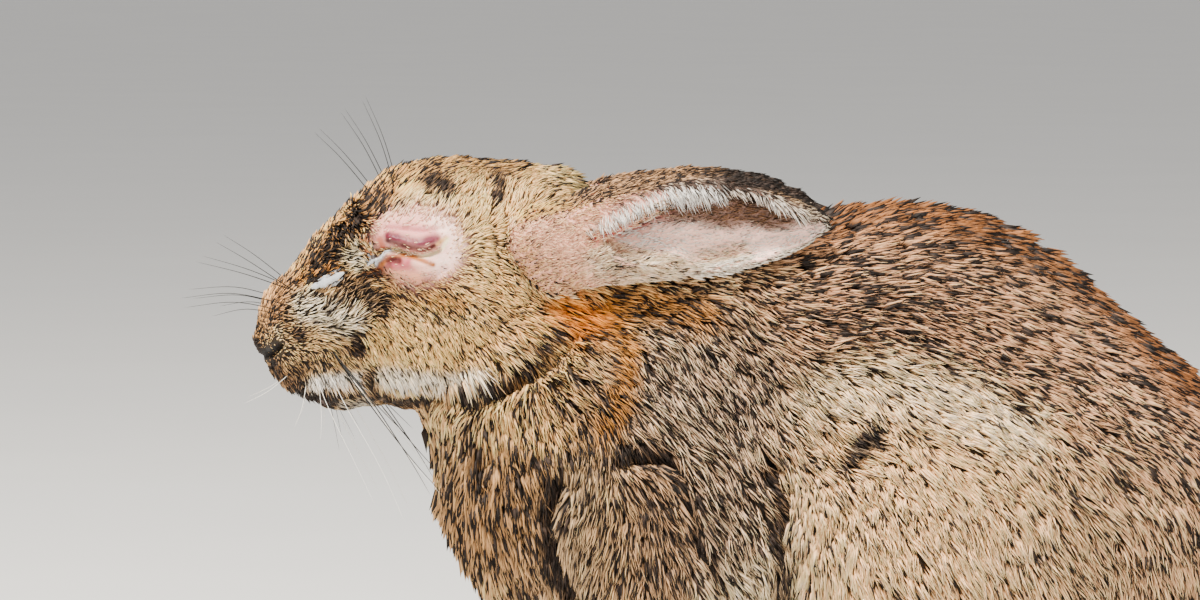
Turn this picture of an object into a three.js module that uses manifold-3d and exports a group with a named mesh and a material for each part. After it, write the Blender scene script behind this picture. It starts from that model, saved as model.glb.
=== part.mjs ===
// A life-size European rabbit, sitting hunched with its head level and its ears laid back.
// Its eyelids are swollen and almost closed. Every piece reaches out to the tips of the coat.
//
// The animal is modelled in millimetres. Points are [x, y, z]: x to the rabbit's left, y from the nose tip
// back to the tail, z up from the floor. At the end the group is centred over the middle of its own box.
//
// The body is one smooth field of ellipsoids and tapered limbs. Each named piece is the part of that field
// inside its own cutter, and the next pieces are cut back from the cutters before them by a thin gap.
import * as THREE from "three";
import { mergeVertices } from "three/addons/utils/BufferGeometryUtils.js";
import Module from "manifold-3d";

const wasm = await Module();
wasm.setup();

// ---------- driving dimensions ----------
const GAP = 0.35; // clearance where two pieces meet
const LOOSE = 0.9; // clearance under the ears and the tail, where the coat lies against the coat
// Facet sizes, from the front of a piece to its back.
const CELL = {
  head: [4, 7.2],
  neck: [7.2, 9.8],
  trunk: [12.3, 12.3],
  thigh: [12.4, 12.4],
  foreleg: [8.4, 8.4],
  foot: [4.8, 9.8],
  forepaw: [4.4, 6],
  tail: [9, 9],
};

// The spine's stations: centre (y, z), then half width, half length and half height of the body there.
const SPINE = [
  { y: 85, z: 86, wide: 30, long: 34, high: 43 }, // chest
  { y: 112, z: 94, wide: 37, long: 36, high: 53 }, // shoulders
  { y: 149, z: 98, wide: 43, long: 40, high: 60 }, // middle of the back
  { y: 175, z: 93, wide: 44, long: 37, high: 58 }, // loin
  { y: 203, z: 76, wide: 41, long: 43, high: 46 }, // rump
];
const SPINE_STEPS = 5; // ellipsoids blended in between two stations

const EYE = { at: [14.8, 38.5, 147.3], radius: 7.7 };
const LIDS = {
  at: [16, 39, 149],
  swell: [8.4, 12.5, 10.6],
  slit: { long: 18, high: 1.7, tilt: 10, depth: 14 }, // its rear end is the higher one
};
const MOUTH = { at: [0, 12, 113.6], half: [6.4, 9.5, 0.7], tilt: 8 };
const NOSTRIL = { at: [4, 2.4, 127], half: [2.6, 1.8, 0.7], tilt: -30 };

const EAR = {
  // its middle line, from inside the head to the tip
  line: [
    [10.5, 55, 141.5],
    [19, 68, 145.6],
    [24, 84, 150.6],
    [27, 108, 152.8],
    [26.5, 136, 153.4],
  ],
  half: 12.7, // half height at the widest place
  deep: 7, // half depth of the cup
  wall: 2.6,
  rings: 13,
  sides: 7,
  base: { at: 0.2, long: 15.5, proud: 0.9 }, // where the leaf is closed to a tube
};

const FORE = { x: 15, y: 53, toes: 4, spread: 4.2, toe: 3.9 };
const HIND = { x: 37, y: 146, toes: 4, spread: 5, toe: 4.5 };
const CLAW = { long: 7, thick: 1.4, drop: 2.3, sides: 4, rings: 2 };

const FUR = { brown: 0x8a6f52, grey: 0x85786a, pale: 0xb7a184, rust: 0x9a5a2a, ear: 0xc9a497 };
const DARK = 0x2b2522; // eyes and claws

// ---------- fields: the distance to a surface, negative inside ----------
const degrees = THREE.MathUtils.degToRad;

// An ellipsoid, tilted about x by an angle in degrees. A positive tilt lifts its rear end.
function ellipsoid([cx, cy, cz], [rx, ry, rz], pitch = 0) {
  const c = Math.cos(degrees(pitch));
  const s = Math.sin(degrees(pitch));
  return (x, y, z) => {
    const u = x - cx;
    const v = (y - cy) * c + (z - cz) * s;
    const w = (z - cz) * c - (y - cy) * s;
    const scaled = Math.hypot(u / rx, v / ry, w / rz);
    const slope = Math.hypot(u / rx ** 2, v / ry ** 2, w / rz ** 2);
    return slope < 1e-9 ? -Math.min(rx, ry, rz) : (scaled * (scaled - 1)) / slope;
  };
}

// A limb with round ends, from a to b, whose radius runs from ra to rb.
function limb(a, b, ra, rb) {
  const axis = b.map((v, i) => v - a[i]);
  const length2 = axis.reduce((sum, v) => sum + v * v, 0);
  const fall = ra - rb;
  const side2 = length2 - fall * fall;
  return (x, y, z) => {
    const from = [x - a[0], y - a[1], z - a[2]];
    const along = from.reduce((sum, v, i) => sum + v * axis[i], 0);
    const past = along - length2;
    const off2 = from.reduce((sum, v, i) => sum + (v * length2 - axis[i] * along) ** 2, 0);
    const k = Math.sign(fall) * fall * fall * off2;
    const past2 = past * past * length2;
    const along2 = along * along * length2;
    if (Math.sign(past) * side2 * past2 > k) return Math.sqrt(off2 + past2) / length2 - rb;
    if (Math.sign(along) * side2 * along2 < k) return Math.sqrt(off2 + along2) / length2 - ra;
    return (Math.sqrt((off2 * side2) / length2) + along * fall) / length2 - ra;
  };
}

// A chain of limbs through several joints, each { at, r }.
function chain(joints) {
  const limbs = joints.slice(1).map((j, i) => limb(joints[i].at, j.at, joints[i].r, j.r));
  return (x, y, z) => Math.min(...limbs.map((f) => f(x, y, z)));
}

const paired = (field) => (x, y, z) => field(Math.abs(x), y, z);

// The smaller of two distances, with a fillet of about k where they meet.
function smooth(a, b, k) {
  const h = Math.max(k - Math.abs(a - b), 0) / k;
  return Math.min(a, b) - (h * h * k) / 4;
}

const blend =
  (k, ...fields) =>
  (x, y, z) =>
    fields.reduce((sum, f) => smooth(sum, f(x, y, z), k), 1e3);

// ---------- the animal's fields ----------
// The trunk: ellipsoids along a smooth curve through the spine's stations.
function trunkField() {
  const curves = ["y", "z", "wide", "long", "high"].map((key) => {
    const values = SPINE.map((station, i) => new THREE.Vector3(i, station[key], 0));
    return new THREE.CatmullRomCurve3(values, false, "catmullrom");
  });
  const steps = (SPINE.length - 1) * SPINE_STEPS;
  const bodies = Array.from({ length: steps + 1 }, (_, i) => {
    const [y, z, wide, long, high] = curves.map((c) => c.getPoint(i / steps).y);
    return ellipsoid([0, y, z], [wide, long, high]);
  });
  return (x, y, z) => Math.min(...bodies.map((f) => f(x, y, z)));
}

// The head: braincase, brow, tapering snout, muzzle, cheeks, chin and the swollen lids.
function headField() {
  const skull = blend(
    9,
    ellipsoid([0, 50, 147.5], [20, 25, 21], -6), // braincase
    limb([0, 37, 147.2], [0, 10.5, 131.6], 16.5, 8.9), // bridge of the nose
    paired(limb([9, 45, 150], [6.5, 25, 143], 13, 9.8)), // brow
    ellipsoid([0, 67, 153.5], [11, 14, 12.5], 12), // back of the skull, between the ears
  );
  const jaws = blend(
    7,
    paired(ellipsoid([5.8, 16.5, 121.8], [7, 12, 9.8], -14)), // whisker pads
    paired(ellipsoid([10.5, 47.5, 131.5], [12.6, 23.5, 18.5], 8)), // cheeks
    paired(ellipsoid([3.2, 11.2, 118.6], [5.2, 7.2, 5.6], 0)), // upper lips
    limb([0, 19.4, 113.1], [0, 42, 119], 5, 9.5), // chin and floor of the mouth
    ellipsoid([0, 24, 128], [11.5, 17, 13], 0), // between the cheeks
  );
  const nose = ellipsoid([0, 5.4, 127.2], [5.2, 5.4, 6.6], 0);
  const lids = paired(ellipsoid(LIDS.at, LIDS.swell, -8));
  return blend(5, blend(8, skull, jaws), nose, lids);
}

const neckField = () =>
  blend(
    16,
    limb([0, 64, 142], [0, 108, 122], 14, 26), // nape
    limb([0, 59, 122], [0, 76, 92], 17, 29), // breast
    limb([0, 55.5, 117], [0, 68.5, 96], 15, 21.5), // throat
    paired(limb([11, 60, 124], [15, 88, 102], 12, 20)), // sides
  );

const haunchField = () =>
  blend(
    14,
    limb([19, 196, 84], [27, 158, 74], 35, 31), // thigh
    limb([28, 158, 70], [35.5, 147, 44], 30, 20), // knee
    limb([36.5, 150, 40], [34, 212, 33], 20, 18.5), // shank
  );

const armField = () =>
  blend(
    8,
    ellipsoid([24, 90, 84], [14, 18, 24], -12), // upper arm
    limb([23, 95, 64], [18.5, 75, 27], 15, 10.5), // forearm
    limb([18.5, 75, 27], [16.5, 69, 13], 10.5, 8.4), // wrist
  );

// A foot lying flat, with its toes side by side in front of the ball.
function footField({ x, y, toes, spread, toe }, sole) {
  const row = Array.from({ length: toes }, (_, i) => {
    const aside = (i - (toes - 1) / 2) * spread;
    const ahead = Math.abs(i - (toes - 1) / 2) * 1.6;
    return limb([x + aside, y + ahead, toe - 0.6], [x + aside * 0.8, y + 15, toe], toe, toe * 1.05);
  });
  return blend(2.6, chain(sole), ...row);
}

const forepawField = () =>
  footField(FORE, [
    { at: [16.5, 70, 12], r: 8.4 },
    { at: [FORE.x, 62, 6.6], r: 7.6 },
  ]);

const hindfootField = () =>
  footField(HIND, [
    { at: [35, 229, 9.6], r: 10 },
    { at: [36.5, 190, 8.2], r: 8.8 },
    { at: [HIND.x, 160, 6.8], r: 8 },
  ]);

const tailField = () =>
  blend(
    6,
    limb([0, 236, 52], [0, 247, 62], 12, 14),
    limb([0, 247, 62], [0, 246, 86], 14, 9.5),
  );

const trunkAndHaunches = blend(18, trunkField(), paired(haunchField()));
const torso = blend(14, trunkAndHaunches, neckField(), paired(armField()));
const feet = blend(7, paired(forepawField()), paired(hindfootField()));
const rabbitField = blend(7, blend(12, headField(), torso), feet);
const tail = tailField();
const TAIL_BOX = [
  [-20, 218, 30],
  [20, 274, 100],
];

// ---------- surfaces and solids ----------
// Grid lines over lo to hi, spaced from the first size to the last, and centred so that both sides match.
function ticks(lo, hi, [first, last]) {
  const lines = [lo];
  while (lines.at(-1) < hi) {
    const here = lines.at(-1);
    lines.push(here + THREE.MathUtils.mapLinear(here, lo, hi, first, last));
  }
  const over = lines.at(-1) - hi;
  return lines.map((v) => v - over / 2);
}

const CORNERS = Array.from({ length: 8 }, (_, n) => [n & 1, (n >> 1) & 1, (n >> 2) & 1]);
const EDGES = CORNERS.flatMap((_, n) => [1, 2, 4].filter((bit) => !(n & bit)).map((bit) => [n, n | bit]));

// Surface nets: a closed mesh of the field inside a box, with every vertex moved onto the surface.
function surfaceOf(field, [lo, hi], size) {
  const middle = [(size[0] + size[1]) / 2, (size[0] + size[1]) / 2];
  const lines = [ticks(lo[0], hi[0], middle), ticks(lo[1], hi[1], size), ticks(lo[2], hi[2], middle)];
  const [nx, ny, nz] = lines.map((l) => l.length);
  const inner = lines.map((l) => [(l[0] + l[1]) / 2, (l.at(-1) + l.at(-2)) / 2]);
  const past = (v, i) => Math.max(inner[i][0] - v, v - inner[i][1]);
  const boxed = (p) => Math.max(field(...p), ...p.map(past));
  const index = (i, j, k) => (i * ny + j) * nz + k;
  const along = (line, i) => {
    const below = line[Math.floor(i)];
    return below + (i % 1) * (line[Math.floor(i) + 1] - below);
  };
  const values = new Float64Array(nx * ny * nz);
  lines[0].forEach((x, i) =>
    lines[1].forEach((y, j) => lines[2].forEach((z, k) => (values[index(i, j, k)] = boxed([x, y, z])))),
  );

  const vertexOf = new Map();
  const points = [];
  const addVertex = (i, j, k) => {
    const v = CORNERS.map(([a, b, c]) => values[index(i + a, j + b, k + c)]);
    const crossed = EDGES.filter(([a, b]) => v[a] < 0 !== v[b] < 0);
    if (!crossed.length) return;
    const sum = [0, 0, 0];
    for (const [a, b] of crossed) {
      const t = v[a] / (v[a] - v[b]);
      for (let n = 0; n < 3; n++) sum[n] += CORNERS[a][n] + t * (CORNERS[b][n] - CORNERS[a][n]);
    }
    vertexOf.set(index(i, j, k), points.length);
    const share = sum.map((total) => Math.min(total / crossed.length, 0.999));
    const at = [i, j, k].map((start, n) => along(lines[n], start + share[n]));
    points.push(ontoSurface(boxed, at, middle[0]));
  };
  for (let i = 0; i < nx - 1; i++)
    for (let j = 0; j < ny - 1; j++) for (let k = 0; k < nz - 1; k++) addVertex(i, j, k);

  // One quad round every grid edge that the surface crosses, split along its shorter diagonal.
  const faces = [];
  const reach = (p, q) => points[p].reduce((s, v, n) => s + (v - points[q][n]) ** 2, 0);
  const addQuad = (a, b, c, d, outward) => {
    const split = reach(a, c) < reach(b, d) ? [a, b, c, a, c, d] : [b, c, d, b, d, a];
    faces.push(...(outward ? split : split.reverse()));
  };
  for (let i = 0; i < nx - 1; i++)
    for (let j = 0; j < ny - 1; j++)
      for (let k = 0; k < nz - 1; k++) {
        const here = values[index(i, j, k)] < 0;
        const cell = (a, b, c) => vertexOf.get(index(i - a, j - b, k - c));
        if (j && k && here !== values[index(i + 1, j, k)] < 0)
          addQuad(cell(0, 1, 1), cell(0, 0, 1), cell(0, 0, 0), cell(0, 1, 0), here);
        if (i && k && here !== values[index(i, j + 1, k)] < 0)
          addQuad(cell(1, 0, 1), cell(1, 0, 0), cell(0, 0, 0), cell(0, 0, 1), here);
        if (i && j && here !== values[index(i, j, k + 1)] < 0)
          addQuad(cell(1, 1, 0), cell(0, 1, 0), cell(0, 0, 0), cell(1, 0, 0), here);
      }
  return solidFrom(points.flat(), faces);
}

// A few Newton steps towards the surface, never further than about half a cell.
function ontoSurface(field, start, cell) {
  const h = 0.05;
  const p = [...start];
  for (let turn = 0; turn < 4; turn++) {
    const value = field(p);
    const slope = p.map((_, n) => {
      const ahead = [...p];
      ahead[n] += h;
      return (field(ahead) - value) / h;
    });
    const steep = slope.reduce((s, v) => s + v * v, 0);
    if (steep < 1e-6) break;
    for (let n = 0; n < 3; n++) {
      const moved = p[n] - (value * slope[n]) / steep;
      p[n] = THREE.MathUtils.clamp(moved, start[n] - cell * 0.45, start[n] + cell * 0.45);
    }
  }
  return p;
}

const solidFrom = (points, faces) =>
  new wasm.Manifold(
    new wasm.Mesh({
      numProp: 3,
      vertProperties: new Float32Array(points),
      triVerts: new Uint32Array(faces),
    }),
  );

// A three.js geometry as a solid, placed by a matrix.
function solidOf(geometry, matrix) {
  const bare = geometry.clone().deleteAttribute("normal").deleteAttribute("uv");
  const merged = mergeVertices(bare, 1e-4).applyMatrix4(matrix);
  return solidFrom(merged.attributes.position.array, merged.index.array);
}

function geometryOf(solid) {
  const mesh = solid.getMesh();
  const geometry = new THREE.BufferGeometry();
  geometry.setAttribute("position", new THREE.BufferAttribute(new Float32Array(mesh.vertProperties), 3));
  geometry.setIndex(new THREE.BufferAttribute(new Uint32Array(mesh.triVerts), 1));
  geometry.computeVertexNormals();
  return geometry;
}

// ---------- cutters ----------
// Each can be grown, so that the next piece is cut a gap further back than the piece it meets.
function placed(centre, tilt, size = [1, 1, 1]) {
  const turn = new THREE.Quaternion().setFromEuler(new THREE.Euler(degrees(tilt), 0, 0));
  return new THREE.Matrix4().compose(new THREE.Vector3(...centre), turn, new THREE.Vector3(...size));
}

const egg = (centre, radii, tilt, segments) => (grow) =>
  solidOf(
    new THREE.SphereGeometry(1, segments, Math.round(segments * 0.6)),
    placed(centre, tilt, radii.map((r) => r + grow)),
  );

const block = (centre, size, tilt) => (grow) =>
  solidOf(new THREE.BoxGeometry(...size.map((s) => s + 2 * grow)), placed(centre, tilt));

// A drum lying across the body: round (ry by rz) seen from the side, from x = inner to x = outer.
const drum = (inner, outer, [y, z], [ry, rz], tilt, segments) => (grow) => {
  const across = new THREE.CylinderGeometry(1, 1, 1, segments).rotateZ(Math.PI / 2);
  const size = [Math.abs(outer - inner) + 2 * grow, ry + grow, rz + grow];
  return solidOf(across, placed([(inner + outer) / 2, y, z], tilt, size));
};

// Everything ahead of a slanting plane through two points given as (y, z).
function ahead([y0, z0], [y1, z1], size) {
  const tilt = Math.atan2(y0 - y1, z1 - z0);
  const back = size / 2;
  const middle = [0, (y0 + y1) / 2 - back * Math.cos(tilt), (z0 + z1) / 2 - back * Math.sin(tilt)];
  return block(middle, [size, size, size], THREE.MathUtils.radToDeg(tilt));
}

const CUT = {
  head: egg([0, 22, 152], [40, 61, 46.5], 0, 18),
  neck: ahead([54, 84], [118, 166], 160),
  foreleg: (side) => drum(side * 9.5, side * 52, [83, 48], [26, 57], -13, 24),
  forepaw: (side) => block([side * 24, 65, 2], [48, 62, 32], 0),
  hindfoot: (side) => block([side * 40, 190, 0], [62, 130, 40], 7),
  thigh: (side) => (grow) => {
    const haunch = drum(side * 14, side * 72, [178, 52], [60, 68], 0, 24);
    const shank = block([side * 43, 198, 25], [58, 110, 46], 0);
    return haunch(grow).add(shank(grow));
  },
};

const WHOLE = [
  [-76, -16, -16],
  [76, 276, 190],
];
const ground = block([0, 130, 100], [200, 400, 200], 0)(0);

// The part of the body inside a cutter, less each of the other cutters grown by the gap.
function carve(tool, size, others) {
  const { min, max } = tool ? tool.boundingBox() : { min: WHOLE[0], max: WHOLE[1] };
  const lo = WHOLE[0].map((v, i) => Math.max(v, min[i] - 2.5 * size[1]));
  const hi = WHOLE[1].map((v, i) => Math.min(v, max[i] + 2.5 * size[1]));
  const flesh = surfaceOf(rabbitField, [lo, hi], size).intersect(ground);
  const part = tool ? flesh.intersect(tool) : flesh;
  return others.reduce((left, other) => left.subtract(other(GAP)), part);
}

// A piece that grows out of the body, cut back a gap from the body's surface.
function rooted(piece, size, gap) {
  const { min, max } = piece.boundingBox();
  const box = [min.map((v) => v - 2 * size), max.map((v) => v + 2 * size)];
  return piece.subtract(surfaceOf((x, y, z) => rabbitField(x, y, z) - gap, box, [size, size]));
}

// ---------- eyes, lids and mouth ----------
// The slit between the swollen lids, seen from the side as a thin lens.
function slit(side) {
  const { long, high, tilt, depth } = LIDS.slit;
  const outline = new THREE.Shape();
  outline.moveTo(-long / 2, 0);
  outline.quadraticCurveTo(0, -high, long / 2, 0);
  outline.quadraticCurveTo(0, high, -long / 2, 0);
  const lens = new THREE.ExtrudeGeometry(outline, { depth, bevelEnabled: false, curveSegments: 6 });
  lens.rotateX(Math.PI / 2).rotateZ(Math.PI / 2);
  const [x, y, z] = EYE.at;
  return solidOf(lens, placed([side > 0 ? x : -x - depth, y, z], tilt));
}

function eyeball(side, grow) {
  const [x, y, z] = EYE.at;
  const radius = EYE.radius + grow;
  return solidOf(new THREE.SphereGeometry(radius, 12, 8).rotateZ(Math.PI / 2), placed([side * x, y, z], 0));
}

// The mouth and the two nostrils, as thin slots.
function mouthAndNostrils() {
  const slot = ({ at: [x, y, z], half, tilt }, side) => egg([side * x, y, z], half, tilt, 10)(0);
  return slot(MOUTH, 1).add(slot(NOSTRIL, 1)).add(slot(NOSTRIL, -1));
}

function headSolid() {
  const openings = [-1, 1].map((side) => eyeball(side, GAP).add(slit(side)));
  const solid = carve(CUT.head(0), CELL.head, []);
  return openings.reduce((left, opening) => left.subtract(opening), solid.subtract(mouthAndNostrils()));
}

// ---------- ears ----------
const earLine = new THREE.CatmullRomCurve3(EAR.line.map((p) => new THREE.Vector3(...p)));

// The ear's section at t, from 0 at its base to 1 at its tip: half height, half depth, wall and two rims.
function earSection(t) {
  const swelling = 1 - 0.42 * Math.max(0, 1 - t / 0.36) ** 1.3;
  const closing = Math.sqrt(Math.max(0, 1 - Math.max(0, (t - 0.63) / 0.37) ** 1.35));
  const open = THREE.MathUtils.smoothstep(t, 0.33, 0.64);
  return {
    half: Math.max(1.7, EAR.half * swelling * closing),
    deep: Math.max(1.6, EAR.deep * (1 - 0.3 * t) * Math.min(1, 0.3 + closing)),
    wall: THREE.MathUtils.lerp(0.8 * EAR.deep, EAR.wall, THREE.MathUtils.smoothstep(t, 0.3, 0.46)),
    upper: degrees(THREE.MathUtils.lerp(-10, 26, open)),
    lower: degrees(THREE.MathUtils.lerp(347, 284, open)),
  };
}

// The left ear's cupped leaf. Each ring is an arc of wall, nearly closed at the base and open further out.
function earLeaf() {
  const { rings, sides } = EAR;
  const points = [];
  for (let r = 0; r <= rings; r++) {
    const t = r / rings;
    const s = earSection(t);
    const centre = earLine.getPointAt(t);
    const thick = Math.min(s.wall, s.half * 0.6, s.deep * 0.8);
    for (const inset of [0, thick])
      for (let n = 0; n <= sides; n++) {
        const share = inset ? 1 - n / sides : n / sides;
        const angle = s.upper + share * (s.lower - s.upper);
        const out = Math.cos(angle) * (s.deep - inset);
        const up = Math.sin(angle) * (s.half - inset);
        points.push([centre.x + out, centre.y, centre.z + up]);
      }
  }
  const around = 2 * (sides + 1);
  const faces = [];
  const face = (a, b, c) => faces.push(a, c, b);
  for (let r = 0; r < rings; r++)
    for (let n = 0; n < around; n++) {
      const [a, b] = [r * around + n, r * around + ((n + 1) % around)];
      face(a, b, b + around);
      face(a, b + around, a + around);
    }
  const cap = (start, reverse) => {
    for (let n = 0; n < sides; n++) {
      const [a, b, c, d] = [start + n, start + n + 1, start + around - 2 - n, start + around - 1 - n];
      if (reverse) {
        face(a, c, b);
        face(a, d, c);
      } else {
        face(a, b, c);
        face(a, c, d);
      }
    }
  };
  cap(0, true);
  cap(rings * around, false);
  return solidFrom(points.flat(), faces);
}

// The ear's closed base: an egg lying along its middle line, over the leaf's seam.
function earBase() {
  const { at, long, proud } = EAR.base;
  const { half, deep } = earSection(at);
  const turn = new THREE.Quaternion().setFromUnitVectors(
    new THREE.Vector3(0, 1, 0),
    earLine.getTangentAt(at),
  );
  const size = new THREE.Vector3(deep + proud, long, half + proud);
  const matrix = new THREE.Matrix4().compose(earLine.getPointAt(at), turn, size);
  return solidOf(new THREE.SphereGeometry(1, 16, 10), matrix);
}

const earSolid = () => earLeaf().add(earBase());

// ---------- claws ----------
// A curved cone from inside the toe, pointing forward and down to just above the floor.
function clawSolid([x, y, z]) {
  const { long, thick, drop, sides, rings } = CLAW;
  const points = [];
  for (let r = 0; r < rings; r++) {
    const t = r / rings;
    const radius = thick * (1 - t * 0.6);
    for (let n = 0; n < sides; n++) {
      const a = (2 * Math.PI * n) / sides;
      points.push([x + radius * 0.8 * Math.cos(a), y - long * t, z - drop * t * t + radius * Math.sin(a)]);
    }
  }
  points.push([x, y - long, z - drop], [x, y, z]);
  const [point, root] = [points.length - 2, points.length - 1];
  const faces = [];
  for (let r = 0; r < rings; r++)
    for (let n = 0; n < sides; n++) {
      const [a, b] = [r * sides + n, r * sides + ((n + 1) % sides)];
      if (r === 0) faces.push(root, b, a);
      if (r === rings - 1) faces.push(a, b, point);
      else faces.push(a, b, b + sides, a, b + sides, a + sides);
    }
  return solidFrom(points.flat(), faces);
}

// The claws' roots along the front of a foot, from the inner toe outwards.
const clawRoots = ({ x, y, toes, spread, toe }) =>
  Array.from({ length: toes }, (_, i) => {
    const place = i - (toes - 1) / 2;
    return [x + place * spread, y + Math.abs(place) * 1.6 - toe * 0.35, toe * 0.85];
  });

// ---------- assembly ----------
const rabbit = new THREE.Group();

function place(name, solid, color, roughness = 0.9) {
  const material = new THREE.MeshStandardMaterial({ color, roughness, metalness: 0 });
  const mesh = new THREE.Mesh(geometryOf(solid), material);
  mesh.name = name;
  rabbit.add(mesh);
  return mesh;
}

// A piece of the left side, and its mirror image on the right.
function placePair(name, solid, color, roughness) {
  place(name.replace("#", "left"), solid, color, roughness);
  place(name.replace("#", "right"), solid, color, roughness).scale.x = -1;
}

function buildSides() {
  placePair("eye_#", eyeball(1, 0), DARK, 0.2);
  placePair("ear_#", rooted(earSolid(), 6.4, LOOSE), FUR.ear);
  placePair("foreleg_#", carve(CUT.foreleg(1)(0), CELL.foreleg, [CUT.forepaw(1)]), FUR.grey);
  placePair("forepaw_#", carve(CUT.forepaw(1)(0), CELL.forepaw, []), FUR.brown);
  placePair("thigh_#", carve(CUT.thigh(1)(0), CELL.thigh, [CUT.hindfoot(1)]), FUR.pale);
  placePair("hindfoot_#", carve(CUT.hindfoot(1)(0), CELL.foot, []), FUR.brown);
  for (const [foot, sizes] of Object.entries({ fore: FORE, hind: HIND }))
    clawRoots(sizes).forEach((root, i) =>
      placePair(`claw_${foot}_#_${i + 1}`, rooted(clawSolid(root), 2.6, GAP), DARK, 0.4),
    );
}

function buildRabbit() {
  const legs = [1, -1].flatMap((side) => [
    CUT.foreleg(side),
    CUT.forepaw(side),
    CUT.thigh(side),
    CUT.hindfoot(side),
  ]);
  place("head", headSolid(), FUR.brown);
  place("neck", carve(CUT.neck(0), CELL.neck, [CUT.head, CUT.foreleg(1), CUT.foreleg(-1)]), FUR.rust);
  place("trunk", carve(null, CELL.trunk, [CUT.head, CUT.neck, ...legs]), FUR.grey);
  place("tail", rooted(surfaceOf(tail, TAIL_BOX, CELL.tail), 7, LOOSE), FUR.pale);
  buildSides();
}

buildRabbit();
const reach = new THREE.Box3().setFromObject(rabbit);
rabbit.position.set(0, -(reach.min.y + reach.max.y) / 2, 0);

export default rabbit;
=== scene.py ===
"""A life-size wild European rabbit: one skin with its ears, the coat in tufts, whiskers, eyes and claws.

Shapes are worked out in body millimetres: x to the rabbit's left, y back from the nose tip and z up from the
floor. Tables are made on the left side, which the photo shows, and serve both.
"""

import math

import bmesh
import bpy
import numpy as np
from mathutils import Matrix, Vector
from mathutils.bvhtree import BVHTree
from mathutils.kdtree import KDTree


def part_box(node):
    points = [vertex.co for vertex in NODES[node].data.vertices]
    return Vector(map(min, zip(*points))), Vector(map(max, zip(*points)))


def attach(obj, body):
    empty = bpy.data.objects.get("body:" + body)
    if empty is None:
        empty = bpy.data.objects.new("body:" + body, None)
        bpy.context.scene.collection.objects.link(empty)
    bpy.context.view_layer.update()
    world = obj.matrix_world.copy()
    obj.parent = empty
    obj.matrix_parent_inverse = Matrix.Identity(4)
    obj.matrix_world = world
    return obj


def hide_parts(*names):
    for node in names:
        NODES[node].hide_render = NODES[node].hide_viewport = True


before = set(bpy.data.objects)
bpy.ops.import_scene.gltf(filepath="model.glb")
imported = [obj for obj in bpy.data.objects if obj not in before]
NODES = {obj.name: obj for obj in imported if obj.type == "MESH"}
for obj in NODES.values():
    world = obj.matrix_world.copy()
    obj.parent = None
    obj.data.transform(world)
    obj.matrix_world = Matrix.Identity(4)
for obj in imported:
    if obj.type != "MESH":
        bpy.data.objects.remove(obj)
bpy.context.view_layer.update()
MM = 0.001
NOSE_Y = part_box("head")[0].y

FLESH = ["head", "neck", "trunk", "tail"] + [
    f"{part}_{side}"
    for part in ("foreleg", "forepaw", "thigh", "hindfoot")
    for side in ("left", "right")
]
EARS = ["ear_left", "ear_right"]


# ---------- numbers and fields ----------
def to_body(co):
    return (np.asarray(co, float) - (0, NOSE_Y, 0)) / MM


def to_row(points):
    return np.asarray(points, float) * MM + (0, NOSE_Y, 0)


def unit(v):
    return v / np.maximum(np.linalg.norm(v, axis=-1, keepdims=True), 1e-9)


def ramp(x, lo, hi):
    """0 below lo and 1 above hi, smooth between them."""
    t = np.clip((x - lo) / (hi - lo), 0, 1)
    return t * t * (3 - 2 * t)


def dots(a, b):
    return (a * b).sum(-1)


def hashed(cells, seed):
    """A repeatable number from 0 to 1 for each whole-numbered cell."""
    n = cells.astype(np.int64) @ np.array([73856093, 19349663, 83492791]) + seed * 6542989
    n = ((n >> 13) ^ n) & 0x7FFFFFFF
    n = (n * (n * n * 15731 + 789221) + 1376312589) & 0x7FFFFFFF
    return n / 0x7FFFFFFF


def noise(points, size, seed=0):
    """Smooth noise from -1 to 1, whose lumps are about size across."""
    p = np.asarray(points, float) / size
    base = np.floor(p)
    f = p - base
    f = f * f * (3 - 2 * f)
    total = np.zeros(len(p))
    for corner in np.ndindex(2, 2, 2):
        c = np.array(corner)
        weight = np.prod(np.where(c, f, 1 - f), axis=1)
        total += weight * hashed(base + c, seed)
    return total * 2 - 1


def mirrored(points):
    """The points brought to the left side."""
    p = np.array(points, float)
    p[:, 0] = np.abs(p[:, 0])
    return p


def along_path(points, path):
    """Each point's distance from a path of (y, z), seen from the side, or of (x, y, z). Then, for the nearest
    spot on the path: its share of the path's length, its place and the path's direction there."""
    path = np.asarray(path, float)
    if len(path) == 1:
        path = np.vstack([path, path + 1e-6])
    p = mirrored(points)[:, -path.shape[1] :]
    gap, length = np.full(len(p), np.inf), np.zeros(len(p))
    place, course = np.zeros_like(p), np.zeros_like(p)
    done = 0.0
    for a, b in zip(path[:-1], path[1:]):
        axis = b - a
        size = np.linalg.norm(axis)
        t = np.clip(dots(p - a, axis) / size**2, 0, 1)
        spot = a + t[:, None] * axis
        away = np.linalg.norm(p - spot, axis=1)
        near = away < gap
        gap[near], place[near], course[near] = away[near], spot[near], axis / size
        length[near] = done + t[near] * size
        done += size
    return gap, length / done, place, course


def smooth_line(points, steps):
    """Points evenly along a smooth curve through the given ones."""
    points = np.asarray(points, float)
    before = np.vstack([2 * points[0] - points[1], points, 2 * points[-1] - points[-2]])
    out = []
    for u in np.linspace(0, len(points) - 1, steps):
        i = min(int(u), len(points) - 2)
        f = u - i
        a, b, c, d = before[i : i + 4]
        bend, twist = 2 * a - 5 * b + 4 * c - d, 3 * b - a - 3 * c + d
        out.append(0.5 * (2 * b + (c - a) * f + bend * f**2 + twist * f**3))
    return np.array(out)


def curved(path):
    """A path with its corners rounded."""
    return path if len(path) < 3 else smooth_line(path, 4 * len(path))


def stroke(points, path, width, power=2):
    """1 on the path and next to nothing twice its width away, with a harder edge the higher the power."""
    return np.exp(-((along_path(points, path)[0] / width) ** power))


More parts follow.
